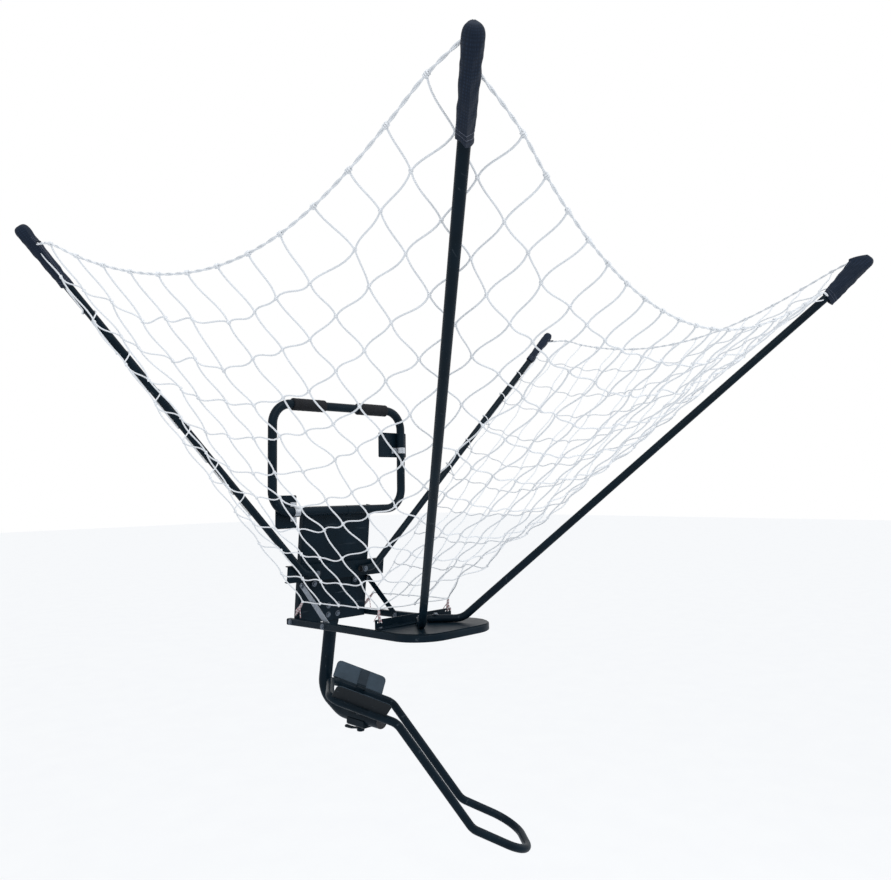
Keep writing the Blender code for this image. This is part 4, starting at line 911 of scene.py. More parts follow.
def build_cradle():
    """The cradle: one strap that is level on the swivel, rises inside the rails, bends out over them and runs
    up the wings. Its path is drawn flat, x across and u up, and its upright and its width turn from level to
    the rails' slope over the blend below the rails' top. Its runs on the wings are a piece of their own."""
    blend_start, blend_length, clear, short = -0.010, 0.022, 0.0007, 0.002
    origin, along, over = rail_directions()
    wall = (RAIL_TUBE + CRADLE_SHEET) / 2 + GAP
    lean = np.array([math.sin(WING_FLARE), math.cos(WING_FLARE)])
    lift = (WING_SHEET + CRADLE_SHEET) / 2 + 0.0002
    foot = RAIL_HALF_SPAN * np.array([1, 0]) + lift * np.array([-lean[1], lean[0]])
    turn = foot + lean * (wall + clear - foot[1]) / lean[1]
    end = foot + lean * (RAIL_TUBE / 2 + WING_HEIGHT - short)
    floor = CRADLE_MIDDLE - origin[2]
    right = [(RAIL_HALF_SPAN - wall, floor), (RAIL_HALF_SPAN - wall, wall + clear), turn, end]
    corners = [(-x, 0, u) for x, u in reversed(right)] + [(x, 0, u) for x, u in right]
    flat = filleted(corners, [*CRADLE_BENDS[::-1], *CRADLE_BENDS])
    share = smoothed(np.clip((flat[:, 2:] - blend_start) / blend_length, 0, 1))
    rise = unit(Z * (1 - share) + over * share)
    path = origin + X * flat[:, :1] + rise * flat[:, 2:]
    width = unit(-Y * (1 - share) + along * share)
    section = round_box(CRADLE_SHEET, CRADLE_WIDTH, CRADLE_EDGE)
    strap = carried(on_chute(path), section, width @ turn_z(CHUTE_TURN))
    tail = int((flat[:, 0] > turn[0]).sum())
    Skin().grid(strap[..., tail - 1:1 - tail, :, :]).build(
        "chute_cradle_strap", "powder_coat_navy", "chute", ["chute_cradle"], "frame_paint", 35.0)
    tails = Skin().grid(strap[..., :tail, :, :]).grid(strap[..., -tail:, :, :])
    tails.build("chute_wing_straps", "powder_coat_slate_shaded", "chute", slot="chute_paint", sharp=35.0)
    beads = Skin()
    radius = settings()[0].seam
    stretches = ((WING_FORWARD_SHARE - 0.98, -0.10), (0.10, WING_FORWARD_SHARE - 0.02))
    for sign in (-1, 1):
        out = over * math.cos(WING_FLARE) + X * sign * math.sin(WING_FLARE)
        thick = X * sign * math.cos(WING_FLARE) - over * math.sin(WING_FLARE)
        for face in (-1, 1):
            foot = origin + X * sign * RAIL_HALF_SPAN + out * (RAIL_TUBE / 2 + 0.0004) + thick * face * 0.0016
            for stretch in stretches:
                weld(beads, on_chute([foot + along * WING_LENGTH * share for share in stretch]), radius)
    beads.build("chute_weld_beads", "powder_coat_navy", "chute", slot="frame_paint")


def stood(node, out):
    """Where a CAD bolt stands: its middle across its axis, and its lowest and highest point along it."""
    points = np.array([vert.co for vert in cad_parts[node].data.vertices])
    out, side, up = axes_about(out)
    along, a, b = points @ out, points @ side, points @ up
    middle = side * (a.max() + a.min()) / 2 + up * (b.max() + b.min()) / 2
    return middle, along.min(), along.max()


def hex_bolt(skin, node, out, head, nut, width, washer=0.0009):
    """A hexagon bolt over its CAD solid: a chamfered head on a round washer, and a nut with a threaded end.

    Each is a profile of (radius, height) turned about the bolt. Head and nut are turned in six steps, and
    their top ring is drawn in by an eighth, which makes the chamfer.
    """
    middle, low, high = stood(node, out)
    out = unit(out)
    across, chamfered = width / 2 * 0.94, width / 2 * 0.94 * 0.88
    round_washer = [(width * 0.60, 0), (width * 0.66, 0.0002), (width * 0.66, washer - 0.0002),
                    (width * 0.62, washer)]
    for way, seat, flat, top in ((out, high - head, head * 0.82, head),
                                 (-out, low + nut, nut * 0.70, nut * 0.80)):
        base = middle + out * seat
        skin.grid(turned(round_washer, base, way, 24))
        skin.grid(turned([(across, washer), (across, flat), (chamfered, top)], base, way, 6))
    thread = [(width * 0.24, nut * 0.78), (width * 0.24, nut * 0.95), (width * 0.20, nut)]
    skin.grid(turned(thread, middle + out * (low + nut), -out, 16))


def build_bolts():
    """The bolts, in groups of like ones: each bolt's node and the way its head faces."""
    plate_out, base_up = -Y @ PLATE_TURN, Z @ BASE_TURN
    groups = {
        "clamp_bolts": ("zinc_plate_bright", "zinc", SMALL_BOLT, [
            ("clamp_bolt_left_upper", -Y), ("clamp_bolt_left_lower", -Y),
            ("clamp_bolt_right_outer", -Y), ("clamp_bolt_right_inner", -Y)]),
        "plate_bolts": ("bolt_steel_zinc", "bolt_steel", FRAME_BOLT, [
            ("crossbar_bolt_left", plate_out), ("crossbar_bolt_right", plate_out),
            *[("support_bolt_" + str(number), plate_out) for number in range(1, 5)]]),
        "pole_bolts": ("bolt_steel_zinc", "bolt_steel", FRAME_BOLT, [
            ("rear_pole_bolt_left", plate_out), ("rear_pole_bolt_right", plate_out),
            ("front_pole_bolt_left", base_up), ("front_pole_bolt_right", base_up)]),
        "arm_bolts": ("bolt_steel_zinc", "bolt_steel", FRAME_BOLT, [
            (kind + side, X * sign) for side, sign in SIDES
            for kind in ("arm_bolt_", "strut_low_bolt_", "strut_top_bolt_")]),
        "net_bar_bolts": ("bolt_steel_zinc", "bolt_steel", SMALL_BOLT, [
            ("net_bar_bolt_left", base_up), ("net_bar_bolt_right", base_up)]),
    }
    for name, (look, slot, size, members) in groups.items():
        skin = Skin()
        for node, out in members:
            hex_bolt(skin, node, out, *size)
        skin.build(name, look, "frame", [node for node, _ in members], slot, 25.0)


def build_swivel():
    """The swivel's carriage bolt, a dome over a flange, and the clamp lever: a turned boss with an arm whose
    ring of radius swells to a knob and closes in a quarter round."""
    middle, low, high = stood("swivel_bolt", Z)
    shank, dome_half, dome_rise = 0.005, 0.011, 0.005
    t = np.linspace(0, math.pi / 2, 9)
    dome = np.stack([dome_half * np.cos(t) + 0.00001, high - dome_rise + dome_rise * np.sin(t)], -1)
    profile = np.concatenate([[(shank, low), (shank, high - dome_rise)], dome])
    skin = Skin().grid(turned(profile, middle, Z))
    skin.build("swivel_carriage_bolt", "zinc_plate_bright", "chute", ["swivel_bolt"], "zinc", 35.0)

    boss_height, boss_half, arm_start, arm_length, arm_sag = 0.017, 0.012, 0.0085, 0.0665, 0.0025
    droop = math.radians(5)
    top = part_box("clamp_lever")[1][2]
    bottom = top - boss_height
    boss = [(0.0095, bottom - 0.0004), (0.0112, bottom + 0.0004), (boss_half, bottom + 0.0030),
            (boss_half, top - 0.006), (0.0100, top - 0.005), (0.0100, top)]
    origin = -Y * CHUTE_REACH
    lever = Skin().grid(turned(boss, origin, Z))
    at = np.linspace(0, 1, 40)
    reach = np.array([0, math.cos(droop), -math.sin(droop)])
    path = origin + Z * (bottom + top) / 2 + reach * (arm_start + arm_length * at)[:, None]
    path = path - Z * (arm_sag * np.sin(math.pi * at))[:, None]
    knob = 0.0046 + 0.0008 * np.clip((at - 0.45) / 0.4, 0, 1)
    knob = knob - 0.0009 * np.sin(math.pi * np.clip(at / 0.5, 0, 1))
    knob = knob * np.sqrt(np.clip(1 - np.clip((at - 0.93) / 0.075, 0, 1) ** 2, 0.01, 1))
    lever.grid(carried(path, ring(knob) * (1.25, 0.9), Z))
    lever.build("clamp_lever_handle", "powder_coat_navy", "lever", ["clamp_lever"], "frame_paint", 35.0)


def seam_line(sign):
    """The netting's fold along the inside of a front pole, from its top to the ring's front corner.

    It lies on the side of the pole where the sagging borders of the two panels pull it: at right angles to the
    pole and to the difference of the borders' directions.
    """
    tip, out = pole_line("front", sign)
    side_run = sided(sign, REAR_TIP) - tip + sided(sign, (-SIDE_INSET, 0, -SIDE_SAG)) * 4
    front_run = sided(-sign, FRONT_TIP) - tip + np.array([0, FRONT_INSET, -FRONT_SAG]) * 4
    across = unit(side_run) - unit(front_run)
    across = unit(across - out * (across @ out))
    inward = np.cross(across, out)
    inward *= math.copysign(1, inward[2])
    return np.array([tip - out * CORNER_DROP + inward * NET_REACH, sided(sign, RING_FRONT)])


def rear_line(sign):
    """The netting's rear edge, from the rear pole's sleeve to the ring's rear corner."""
    tip, out = pole_line("rear", sign)
    front = unit(-Y + out * (Y @ out))
    return np.array([tip - out * CORNER_DROP + front * NET_REACH, sided(sign, RING_REAR)])


def panel(first, last, cells, lost_first, lost_last, sag, stiff=0.0):
    """The knots of one side of the funnel, an array of rows and cells, with no number where there is no knot.

    A row runs straight between its two edge lines, plus sag times (1 - low) times 4 share (1 - share), where
    share runs along the row and low from the top border, 0, to the ring, 1. The power 1 + stiff (1 - share)
    of that last product holds the row straighter at its first end.
    """
    row, cell = np.meshgrid(np.arange(NET_ROWS + 1), np.arange(cells + 1), indexing="ij")
    begin, end = row * lost_first, cells - row * lost_last
    low = (row / NET_ROWS)[..., None]
    share = ((cell - begin) / (end - begin))[..., None]
    edge_a = first[0] + (first[1] - first[0]) * low
    edge_b = last[0] + (last[1] - last[0]) * low
    hang = np.clip(4 * share * (1 - share), 0, 1) ** (1 + stiff * np.clip(1 - share, 0, 1))
    points = edge_a + (edge_b - edge_a) * share + sag * hang * (1 - low)
    points[(cell < begin) | (cell > end)] = np.nan
    return points


def panels():
    """The three sides of the one netting, whose knots meet along the folds at the front poles.

    Each fold takes a cell off a row, so the meshes there hang as diamonds. The knots of the top row that the
    fabric sleeves hide are moved into them.
    """
    seams = {sign: seam_line(sign) for sign in (-1, 1)}
    sag = np.array([0, FRONT_INSET, -FRONT_SAG])
    made = {"front": panel(seams[-1], seams[1], FRONT_CELLS, 1, 1, sag)}
    for side, sign in SIDES:
        sag = sided(sign, (-SIDE_INSET, 0, -SIDE_SAGS[sign]))
        made[side] = panel(seams[sign], rear_line(sign), SIDE_CELLS, 1, 0, sag, SIDE_STIFF)
    for key, sign, end, cell, depth, aside in SLEEVED_KNOTS:
        tip, out = pole_line(end, sign)
        toward = (seams[sign] if end == "front" else rear_line(sign))[0] - tip
        made[key][0, cell] = tip - out * depth + unit(toward - out * (toward @ out)) * aside
    return made


def strands(points):
    """The two ends of each strand between neighbouring knots, below the top border."""
    rows = np.stack([points[1:, :-1], points[1:, 1:]], -2).reshape(-1, 2, 3)
    columns = np.stack([points[:-1], points[1:]], -2).reshape(-1, 2, 3)
    both = np.concatenate([rows, columns])
    return both[np.isfinite(both).all((1, 2))]


def loops_round(centres, radius, first, second, steps):
    """A loop round each centre: the centre plus the radius times first cos t plus second sin t."""
    turn = math.tau * np.arange(steps)[:, None] / steps
    return centres[:, None] + radius * (np.cos(turn) * first[:, None] + np.sin(turn) * second[:, None])


def build_netting():
    """The knotted netting. Each strand is a Hermite curve between two knots, a + (b - a)(3tt - 2ttt) plus its
    end direction times (2ttt - 3tt + t); that direction is the strand's own, turned toward straight down, so
    strands leave a knot steeply and make the limp S of a slack net. A knot is a fat oval with a wrap round it.
    """
    # Knots stray by scatter, and strands sink by a share of their length. Near the ring the net is held: how
    # freely a strand hangs grows with its height over held_level, from held_least up to 1 at held_height
    scatter, sink, held_level, held_height, held_least = 0.0055, 0.02, -0.62, 0.12, 0.15
    oval_half, oval_fat, wrap_half, wrap_twine = 2.6, 1.75, 1.55, 0.85
    net = settings()[1]
    chance = np.random.default_rng(net.seed)
    made = panels()
    radius = net.twine / 2

    # Knots inside a panel are moved at random; those on its edges stay
    for points in made.values():
        middle = np.isfinite(points).all(-1)
        middle[0], middle[-1] = False, False
        for shift in (-1, 1):
            middle &= np.isfinite(np.roll(points, shift, 1)).all(-1)
        middle[:, 0], middle[:, -1] = False, False
        points[middle] += chance.normal(0, scatter, (middle.sum(), 3))

    ends = np.concatenate([strands(points) for points in made.values()])
    start, stop = ends[:, 0, None], ends[:, 1, None]
    chord = stop - start
    length = np.linalg.norm(chord, axis=-1, keepdims=True)
    t = np.linspace(0, 1, 9)[None, :, None]
    down = -Z * np.where(chord[..., 2:] < 0, 1, -1)
    count = len(ends)
    limp = net.limp * chance.uniform(0.5, 1.3, (count, 1, 1))
    free = np.clip((start[..., 2:] - held_level) / held_height, held_least, 1)
    lead = unit(unit(chord) + down * limp * free) * length
    swing = unit(np.cross(chord, chance.normal(0, 1, (count, 1, 3)))) * length
    swing = swing * net.bow * free * chance.uniform(0.2, 1.0, (count, 1, 1))
    paths = start + chord * smoothed(t) + lead * (2 * t ** 3 - 3 * t ** 2 + t)
    paths = paths + (swing - Z * length * sink * free) * 4 * t * (1 - t)
    helper = np.where(np.abs(unit(chord)[..., 2:]) < 0.9, Z, X)
    skin = Skin().grid(carried(paths, ring(radius, 6), helper))

    knots = np.concatenate([points[np.isfinite(points).all(-1)] for points in made.values()])
    knots = np.unique(np.round(knots, 5), axis=0)
    lean = unit(-Z + chance.normal(0, 0.35, knots.shape))[:, None]
    at = np.array([-1.0, -0.62, 0.0, 0.62, 1.0])
    oval = knots[:, None] + lean * (at * radius * oval_half)[None, :, None]
    widths = radius * oval_fat * np.array([0.45, 0.92, 1.0, 0.92, 0.45])
    skin.grid(carried(oval, ring(widths, 6), X + 0 * oval))
    tilt = unit(lean[:, 0] + chance.normal(0, 0.6, knots.shape))
    side = unit(np.cross(tilt, X))
    wrap = loops_round(knots, radius * wrap_half, side, np.cross(tilt, side), 8)
    tilts = np.broadcast_to(tilt[:, None], wrap.shape)
    skin.grid(carried(wrap, ring(radius * wrap_twine, 5), tilts, closed=True), closed=True)
    skin.build("knotted_netting", "polyester_twine_white", "frame",
               ["net_left", "net_front", "net_right"], "twine")


def border_path(knots):
    """The top border through its knots, as a smooth curve by cubic Hermite spans, and the run to its points."""
    step = 0.0042
    run = run_of(knots)
    slope = np.gradient(knots, run, axis=0)
    at = np.arange(0, run[-1], step)
    index = np.clip(np.searchsorted(run, at, "right") - 1, 0, len(run) - 2)
    span = (run[index + 1] - run[index])[:, None]
    t = (at - run[index])[:, None] / span
    a, b, m, n = knots[index], knots[index + 1], slope[index] * span, slope[index + 1] * span
    return a + (b - a) * smoothed(t) + m * (t ** 3 - 2 * t ** 2 + t) + n * (t ** 3 - t ** 2), at


def build_border():
    """The border: two cords laid round each other, each the border's line plus its own radius times cos and sin
    of a turn that is full after each lay, with a lashing of three loops at each knot."""
    lay, nested, spacing, lashing_half, lashing_twine = 0.060, 0.96, 0.95, 2.15, 0.45
    net = settings()[1]
    radius = net.border / 2
    skin = Skin()
    for key, points in panels().items():
        knots = points[0, slice(*BORDER_ENDS[key])]
        path, at = border_path(knots)
        _, side, normal = frames(path, Z)
        for half in (0, math.pi):
            turn = (math.tau * at / lay + half)[:, None]
            wound = path + (side * np.cos(turn) + normal * np.sin(turn)) * radius * nested
            skin.grid(carried(wound, ring(radius, 8), Z))
        row = knots[1:-1]
        along = unit(np.gradient(row, axis=0))
        for shift in (-1.0, 0.0, 1.0):
            across = unit(np.cross(along + Z * 0.15 * shift, Z))
            centres = row + along * shift * net.twine * spacing
            lashing = loops_round(centres, radius * lashing_half, across, np.cross(along, across), 12)
            up = np.broadcast_to(along[:, None], lashing.shape)
            skin.grid(carried(lashing, ring(net.twine * lashing_twine, 6), up, closed=True), closed=True)
    skin.build("border_cords", "polyester_twine_white", "frame", slot="twine")


def lump(skin, middle, way, up, half, radius, steps):
    """A cord's knot: a ring that swells and narrows along a short straight run."""
    swell = radius * np.array([0.4, 0.8, 1, 0.85, 1, 0.8, 0.4])
    skin.grid(carried(middle + way * (np.linspace(-1, 1, 7) * half)[:, None], ring(swell, steps), up))


def build_lacing():
    """A cord that laces the netting's rear edge to each rear pole: it runs straight down the pole on one side
    and winds round it once for each row of meshes, in the last 0.30 of the row, where the turn grows by tau
    times (3 p p - 2 p p p). As it faces the netting, a power of cos turn draws it out to the row's knot."""
    # The cord runs from first_row to last_row of the meshes. The power sharp keeps its reach to a knot narrow,
    # slack_most is how far a turn may stand off the pole, and the first turn is drawn in by press
    first_row, last_row, steps = 1.12, 7.38, 1000
    sharp, slack_most, press = 24, 0.009, 0.0036
    knot_half, knot_radius = 0.0045, 0.0042
    net = settings()[1]
    radius = net.twine / 2
    snug = POLE_TUBE / 2 + radius + 0.0004
    skin = Skin()
    for sign in (-1, 1):
        edge = rear_line(sign)
        tip, out = pole_line("rear", sign)
        row = np.linspace(first_row, last_row, steps)
        knots = edge[0] + (edge[1] - edge[0]) * (row / NET_ROWS)[:, None]
        centre = tip - ((tip - knots) @ out)[:, None] * out
        toward = knots - centre
        reach = np.linalg.norm(toward, axis=1)
        toward = toward / reach[:, None]
        across = np.cross(out, toward) * sign
        part = np.clip((row % 1 - LACING_WIND) / (1 - LACING_WIND), 0, 1)
        turn = LACING_RUN + math.tau * smoothed(part)
        near = np.clip(np.cos(turn), 0, 1) ** sharp * np.clip(5 - np.abs(row - 4.5) * 1.6, 0, 1)
        slack = slack_most * np.clip(np.sin(turn - 0.7), 0, 1) ** 2 * np.clip(np.sin(row * 2.1 + sign), 0.05, 1)
        slack = slack * np.clip((row - 1.5) * 4, 0, 1) - press * np.clip((1.30 - row) * 10, 0, 1)
        size = snug + slack + (np.maximum(reach, snug) - snug) * near
        loop = centre + toward * (size * np.cos(turn))[:, None]
        loop = loop + across * ((snug + slack) * np.sin(turn))[:, None]
        skin.grid(carried(loop, ring(radius, 8), out))
        lump(skin, loop[-1], out, toward[-1], knot_half, knot_radius, 8)
    skin.build("rear_lacing", "polyester_twine_white", "frame", slot="twine")


def build_ties():
    """Ties of utility cord: two flat loops between the ring and the steel, each a cosine along the tie and a
    sine across it, with a knot and two short tails that droop."""
    radius, past_end, knot_share, knot_half, knot_radius = 0.0015, 0.002, 0.42, 0.0042, 0.0040
    tail_out, tail_side, tail_drop = 0.014, 0.006, 0.020
    hole_inset, hole_drop, ear_out, ear_rise = 0.016, 0.0075, 0.0025, 0.030
    t = math.tau * np.arange(40) / 40
    at = np.linspace(0, 1, 12)[:, None]
    for side, sign in SIDES:
        steel = {
            "front": on_base([sign * (NET_BAR_HALF - hole_inset), -NET_BAR_REACH - NET_BAR_SHEET / 2,
                              SHELF_TOP + GAP + NET_BAR_LEG - hole_drop]),
            "rear": on_plate([sign * (PLATE_HALF_WIDTH + ear_out), PLATE_FRONT + PLATE_FLANGE / 2,
                              ear_rise - PLATE_LENGTH])}
        for end, corner in (("front", RING_FRONT), ("rear", RING_REAR)):
            ring_at, low = sided(sign, corner), steel[end]
            span = low - ring_at
            run = unit(span)
            aside = unit(np.cross(run, X + 0.2 * Y))
            other = np.cross(run, aside)
            half = np.linalg.norm(span) / 2
            skin = Skin()
            for angle, spread in ((0, 0.0030), (0.9, 0.0042)):
                across = aside * math.cos(angle) + other * math.sin(angle)
                loop = (ring_at + low) / 2 - run * ((half + past_end) * np.cos(t))[:, None]
                loop = loop + across * (spread * np.sin(t) * np.abs(np.sin(t)) ** 0.2)[:, None]
                skin.grid(carried(loop, ring(radius, 8), np.cross(across, run), closed=True), closed=True)
            knot = ring_at + span * knot_share
            lump(skin, knot, run, aside, knot_half, knot_radius, 10)
            for tail in (-1, 1):
                path = knot + aside * tail * tail_out * at + other * tail_side * at - Z * tail_drop * at ** 1.6
                skin.grid(carried(path, ring(radius * 0.9, 8), other + 0.3 * run))
            name = "net_tie_" + end + "_" + side
            skin.build(name + "_knotted", "utility_cord_tracer", "frame", [name], "twine")


def sleeve_surface(tip, out, toward, front, seed):
    """A flat fabric pocket over a pole's tip: its radius by turn t and height, with rows that close over it.

    The cloth is a round of radius R stretched to a fold on the netting's side, and at the front poles to a
    second fold on the other side lower down. A fold that stands f off the round pulls the cloth along two
    tangents, so there the radius is R / cos(t0 - |t|) with cos t0 = R / (R + f). Leaning creases are added,
    and a dome closes the top, whose radius falls by a power of the cosine.
    """
    rear_fold, seam_fold, crease, small_crease = 0.0075, 0.0008, 0.0004, 0.0003
    front_slant, rear_slant = 0.030, 0.010
    chance = np.random.default_rng(seed)
    toward = unit(toward - out * (toward @ out))
    across = np.cross(out, toward)
    even = math.tau * np.arange(64) / 64
    t = even - 0.40 * np.sin(2 * even)
    at = np.linspace(0, 1, SLEEVE_ROWS)
    height = (-SLEEVE_LENGTH + (SLEEVE_LENGTH - SLEEVE_ROUND) * at)[:, None]
    wide = (SLEEVE_HEM / 2 + (SLEEVE_DIAMETER - SLEEVE_HEM) / 2 * at)[:, None]
    if front:
        inner_fold, outer_fold = SLEEVE_FOLD * at, SLEEVE_HANG * (1 - at)
    else:
        inner_fold, outer_fold = rear_fold * np.sin(math.pi * np.clip(at * 1.4 - 0.45, 0, 1)) ** 2, 0 * at
    inner_fold = inner_fold + seam_fold + 0.0006 * np.sin(21 * at + 5)
    turn = np.abs((t + math.pi) % math.tau - math.pi)
    pull = np.maximum(np.arccos(wide / (wide + inner_fold[:, None])) - turn,
                      np.arccos(wide / (wide + outer_fold[:, None])) - (math.pi - turn))
    lean = chance.uniform(0, math.tau, 3)
    run = at[:, None]
    creases = crease * (np.sin(2 * t + 19 * run + lean[0]) + np.sin(5 * t - 29 * run + lean[1]))
    creases = creases + small_crease * np.sin(3 * t + 47 * run + lean[2]) * np.abs(np.sin(6 * run))
    hem = 0.0004 + 0.0005 * (np.exp(-((at - 0.02) / 0.02) ** 2) + np.exp(-((at - 0.10) / 0.012) ** 2))
    radius = wide / np.cos(np.maximum(pull, 0)) + creases + hem[:, None]

    cap = np.linspace(0, math.pi / 2, 12)[1:, None]
    radius = np.concatenate([radius, radius[-1] * np.clip(np.cos(cap), 0.005, 1) ** 0.6])
    height = np.concatenate([height, -SLEEVE_ROUND + (SLEEVE_ROUND + SLEEVE_CROWN) * np.sin(cap)])

    # The top slants down toward the netting where the cloth is clear of the pole, and the hem is ragged
    shoulder = np.clip((height + 0.075) / 0.060, 0, 1) ** 2
    clear = np.clip((radius - POLE_TUBE / 2 - 0.004) / 0.022, 0, 1)
    slant = -(front_slant if front else rear_slant) * shoulder * (0.5 + 0.5 * np.cos(t)) ** 1.5 * clear
    ragged = 0.004 * np.sin(t + lean[2]) + 0.002 * np.sin(3 * t)
    slant[:SLEEVE_ROWS] += ragged * np.clip(1 - at * 6, 0, 1)[:, None]

    spokes = np.cos(t)[:, None] * toward + np.sin(t)[:, None] * across
    outside = tip + radius[..., None] * spokes + (height + slant)[..., None] * out
    lining = tip + ((POLE_TUBE / 2 + 0.0006) * spokes)[None]
    depths = np.array([SLEEVE_LENGTH - 0.03, SLEEVE_LENGTH - 0.002])[:, None, None]
    return np.concatenate([lining - out * depths, outside]), toward, across


def stitched(skin, starts, stops, up, margin):
    """Thread between each start and its stop, less a margin at both ends."""
    dash = starts[:, None] + (stops - starts)[:, None] * np.array([margin, 0.5, 1 - margin])[None, :, None]
    skin.grid(carried(dash, ring(THREAD / 2, 5), up))


def build_sleeves():
    """The fabric sleeves, the tab where a rear one holds the border, and their stitches: two rows round the hem
    and a row down both sides of the fold."""
    proud, seam_proud = 0.0002, 0.0003
    threads = Skin()
    nets = panels()
    seed = 3
    for side, sign in SIDES:
        for end in ("front", "rear"):
            tip, out = pole_line(end, sign)
            corner = (seam_line(sign) if end == "front" else rear_line(sign))[0]
            seed += 1
            surface, toward, across = sleeve_surface(tip, out, corner - tip, end == "front", seed)
            name = "tip_sleeve_" + end + "_" + side
            skin = Skin().grid(surface)
            if end == "rear":
                knots = nets[side][0]
                way = unit(knots[-2] - knots[-1])
                tab = knots[-1] + way * (np.linspace(0.002, 0.036, 8)[:, None]) + Z * 0.004
                skin.grid(carried(tab, round_box(0.007, 0.0016, 0.0007), across))
            skin.build(name + "_cloth", "pack_cloth_navy", "frame", [name], "fabric", 60.0)
            wall = surface[2:2 + SLEEVE_ROWS]
            for row in (3, 5):
                loop = wall[row] + unit(wall[row] - (tip - out * ((tip - wall[row]) @ out)[:, None])) * proud
                stitched(threads, loop, np.roll(loop, -1, 0), out, 0.12)
            for column in (3, -3):
                line = wall[6:40, column] + across * math.copysign(seam_proud, column)
                stitched(threads, line[:-1], line[1:], toward, 0.15)
    threads.build("sleeve_stitches", "sewing_thread_grey", "frame", slot="fabric")


def placed_in_scene(name, data):
    """A new object of the given data, linked to the scene."""
    made = bpy.data.objects.new(name, data)
    bpy.context.scene.collection.objects.link(made)
    return made


def build_floor():
    """The floor: one wide square of matte paper, which camera rays see a little brighter."""
    mesh = bpy.data.meshes.new("floor")
    corners = [(x * FLOOR_HALF, y * FLOOR_HALF, FLOOR_LEVEL) for x, y in ((-1, -1), (1, -1), (1, 1), (-1, 1))]
    mesh.from_pydata(corners, [], [(0, 1, 2, 3)])
    material, tree, shader = new_material("matte_studio_paper")
    place = add_node(tree, "TexCoord").outputs["Object"]
    tone = add_node(tree, "TexNoise", {"Vector": place, "Scale": 3.0, "Detail": 2.0})
    white = add_node(tree, "ValToRGB", {"Fac": tone.outputs["Fac"]},
                     [(0.3, linear("#F7F8F9")), (0.7, linear("#FBFCFC"))])
    set_inputs(shader, {"Base Color": white.outputs["Color"], "Roughness": 0.9})
    rays = add_node(tree, "LightPath")
    glow = add_node(tree, "Emission", {"Color": (1, 1, 1), "Strength": 1.0})
    share = add_node(tree, "Math", {0: rays.outputs["Is Camera Ray"], 1: 0.6}, operation="MULTIPLY")
    mixed = add_node(tree, "MixShader", {0: share.outputs[0], 1: shader.outputs[0], 2: glow.outputs[0]})
    set_inputs(tree.nodes["Material Output"], {"Surface": mixed.outputs[0]})
    mesh.materials.append(material)
    placed_in_scene("floor", mesh)


def build_world():
    """The world: a pale blue sky that lights the object, white where the camera or a reflection sees it."""
    world = bpy.data.worlds.new("pale_world")
    bpy.context.scene.world = world
    world.use_nodes = True
    tree = world.node_tree
    tree.nodes.clear()
    rays = add_node(tree, "LightPath")
    seen = add_node(tree, "Math", {0: rays.outputs["Is Camera Ray"], 1: rays.outputs["Is Glossy Ray"]},
                    operation="MAXIMUM")
    seen = add_node(tree, "Math", {0: seen.outputs[0], 1: rays.outputs["Is Transmission Ray"]},
                    operation="MAXIMUM")
    sky = add_node(tree, "Background", {"Color": linear("#E4EAF2"), "Strength": 0.80})
    white = add_node(tree, "Background", {"Color": (1, 1, 1), "Strength": 1.0})
    mixed = add_node(tree, "MixShader", {0: seen.outputs[0], 1: sky.outputs[0], 2: white.outputs[0]})
    add_node(tree, "OutputWorld", {"Surface": mixed.outputs[0]})


def build_lamps():
    """Two soft square lamps that face the object, and a soft sun."""
    for name, energy, place in (("key", 60, (-2.6, -3.4, 2.8)), ("fill", 25, (3.2, -2.2, 1.0))):
        lamp = bpy.data.lights.new(name + "_lamp", "AREA")
        lamp.energy, lamp.size = energy, LAMP_SIZE
        made = placed_in_scene(name + "_lamp", lamp)
        made.location = place
        made.rotation_euler = (Vector(LAMP_AIM) - Vector(place)).to_track_quat("-Z", "Y").to_euler()
    sun = bpy.data.lights.new("sky_sun", "SUN")
    sun.energy, sun.angle = 0.9, math.radians(25)
    placed_in_scene("sky_sun", sun).rotation_euler = [math.radians(turn) for turn in (35, -15, 20)]


def build_camera():
    """The photograph's camera. Its axes come from its azimuth, its lift above level and its roll; its lens and
    its shift come from the focal length and the middle of the view, both in pixels of the photograph."""
    sensor = 36.0
    level = np.array([math.sin(VIEW_AZIMUTH), math.cos(VIEW_AZIMUTH), 0])
    ahead = level * math.cos(VIEW_LIFT) + Z * math.sin(VIEW_LIFT)
    right = np.array([math.cos(VIEW_AZIMUTH), -math.sin(VIEW_AZIMUTH), 0])
    right = right * math.cos(VIEW_ROLL) + np.cross(right, ahead) * math.sin(VIEW_ROLL)
    camera = bpy.data.cameras.new("photo_camera")
    camera.sensor_fit, camera.sensor_width = "HORIZONTAL", sensor
    camera.lens = sensor * VIEW_FOCAL / VIEW_WIDTH
    camera.shift_x = (VIEW_WIDTH / 2 - VIEW_MIDDLE[0]) / VIEW_WIDTH
    camera.shift_y = (VIEW_MIDDLE[1] - VIEW_HEIGHT / 2) / VIEW_WIDTH
    camera.clip_start, camera.clip_end = 0.05, 200
    made = placed_in_scene("photo_camera", camera)
    axes = Matrix(np.stack([right, np.cross(right, ahead), -ahead], 1).tolist()).to_4x4()
    made.matrix_world = Matrix.Translation(VIEW_PLACE) @ axes
    bpy.context.scene.camera = made
    bpy.context.scene.view_settings.view_transform = "Standard"


class RETURNNET_OT_hanger(bpy.types.Operator):
    """Build the hanger loop's round tube and the frame's weld beads"""

    bl_idname = "return_net.hanger"
    bl_label = "Hanger Loop"

    def execute(self, context):
        build_hanger_loop()
        return {"FINISHED"}


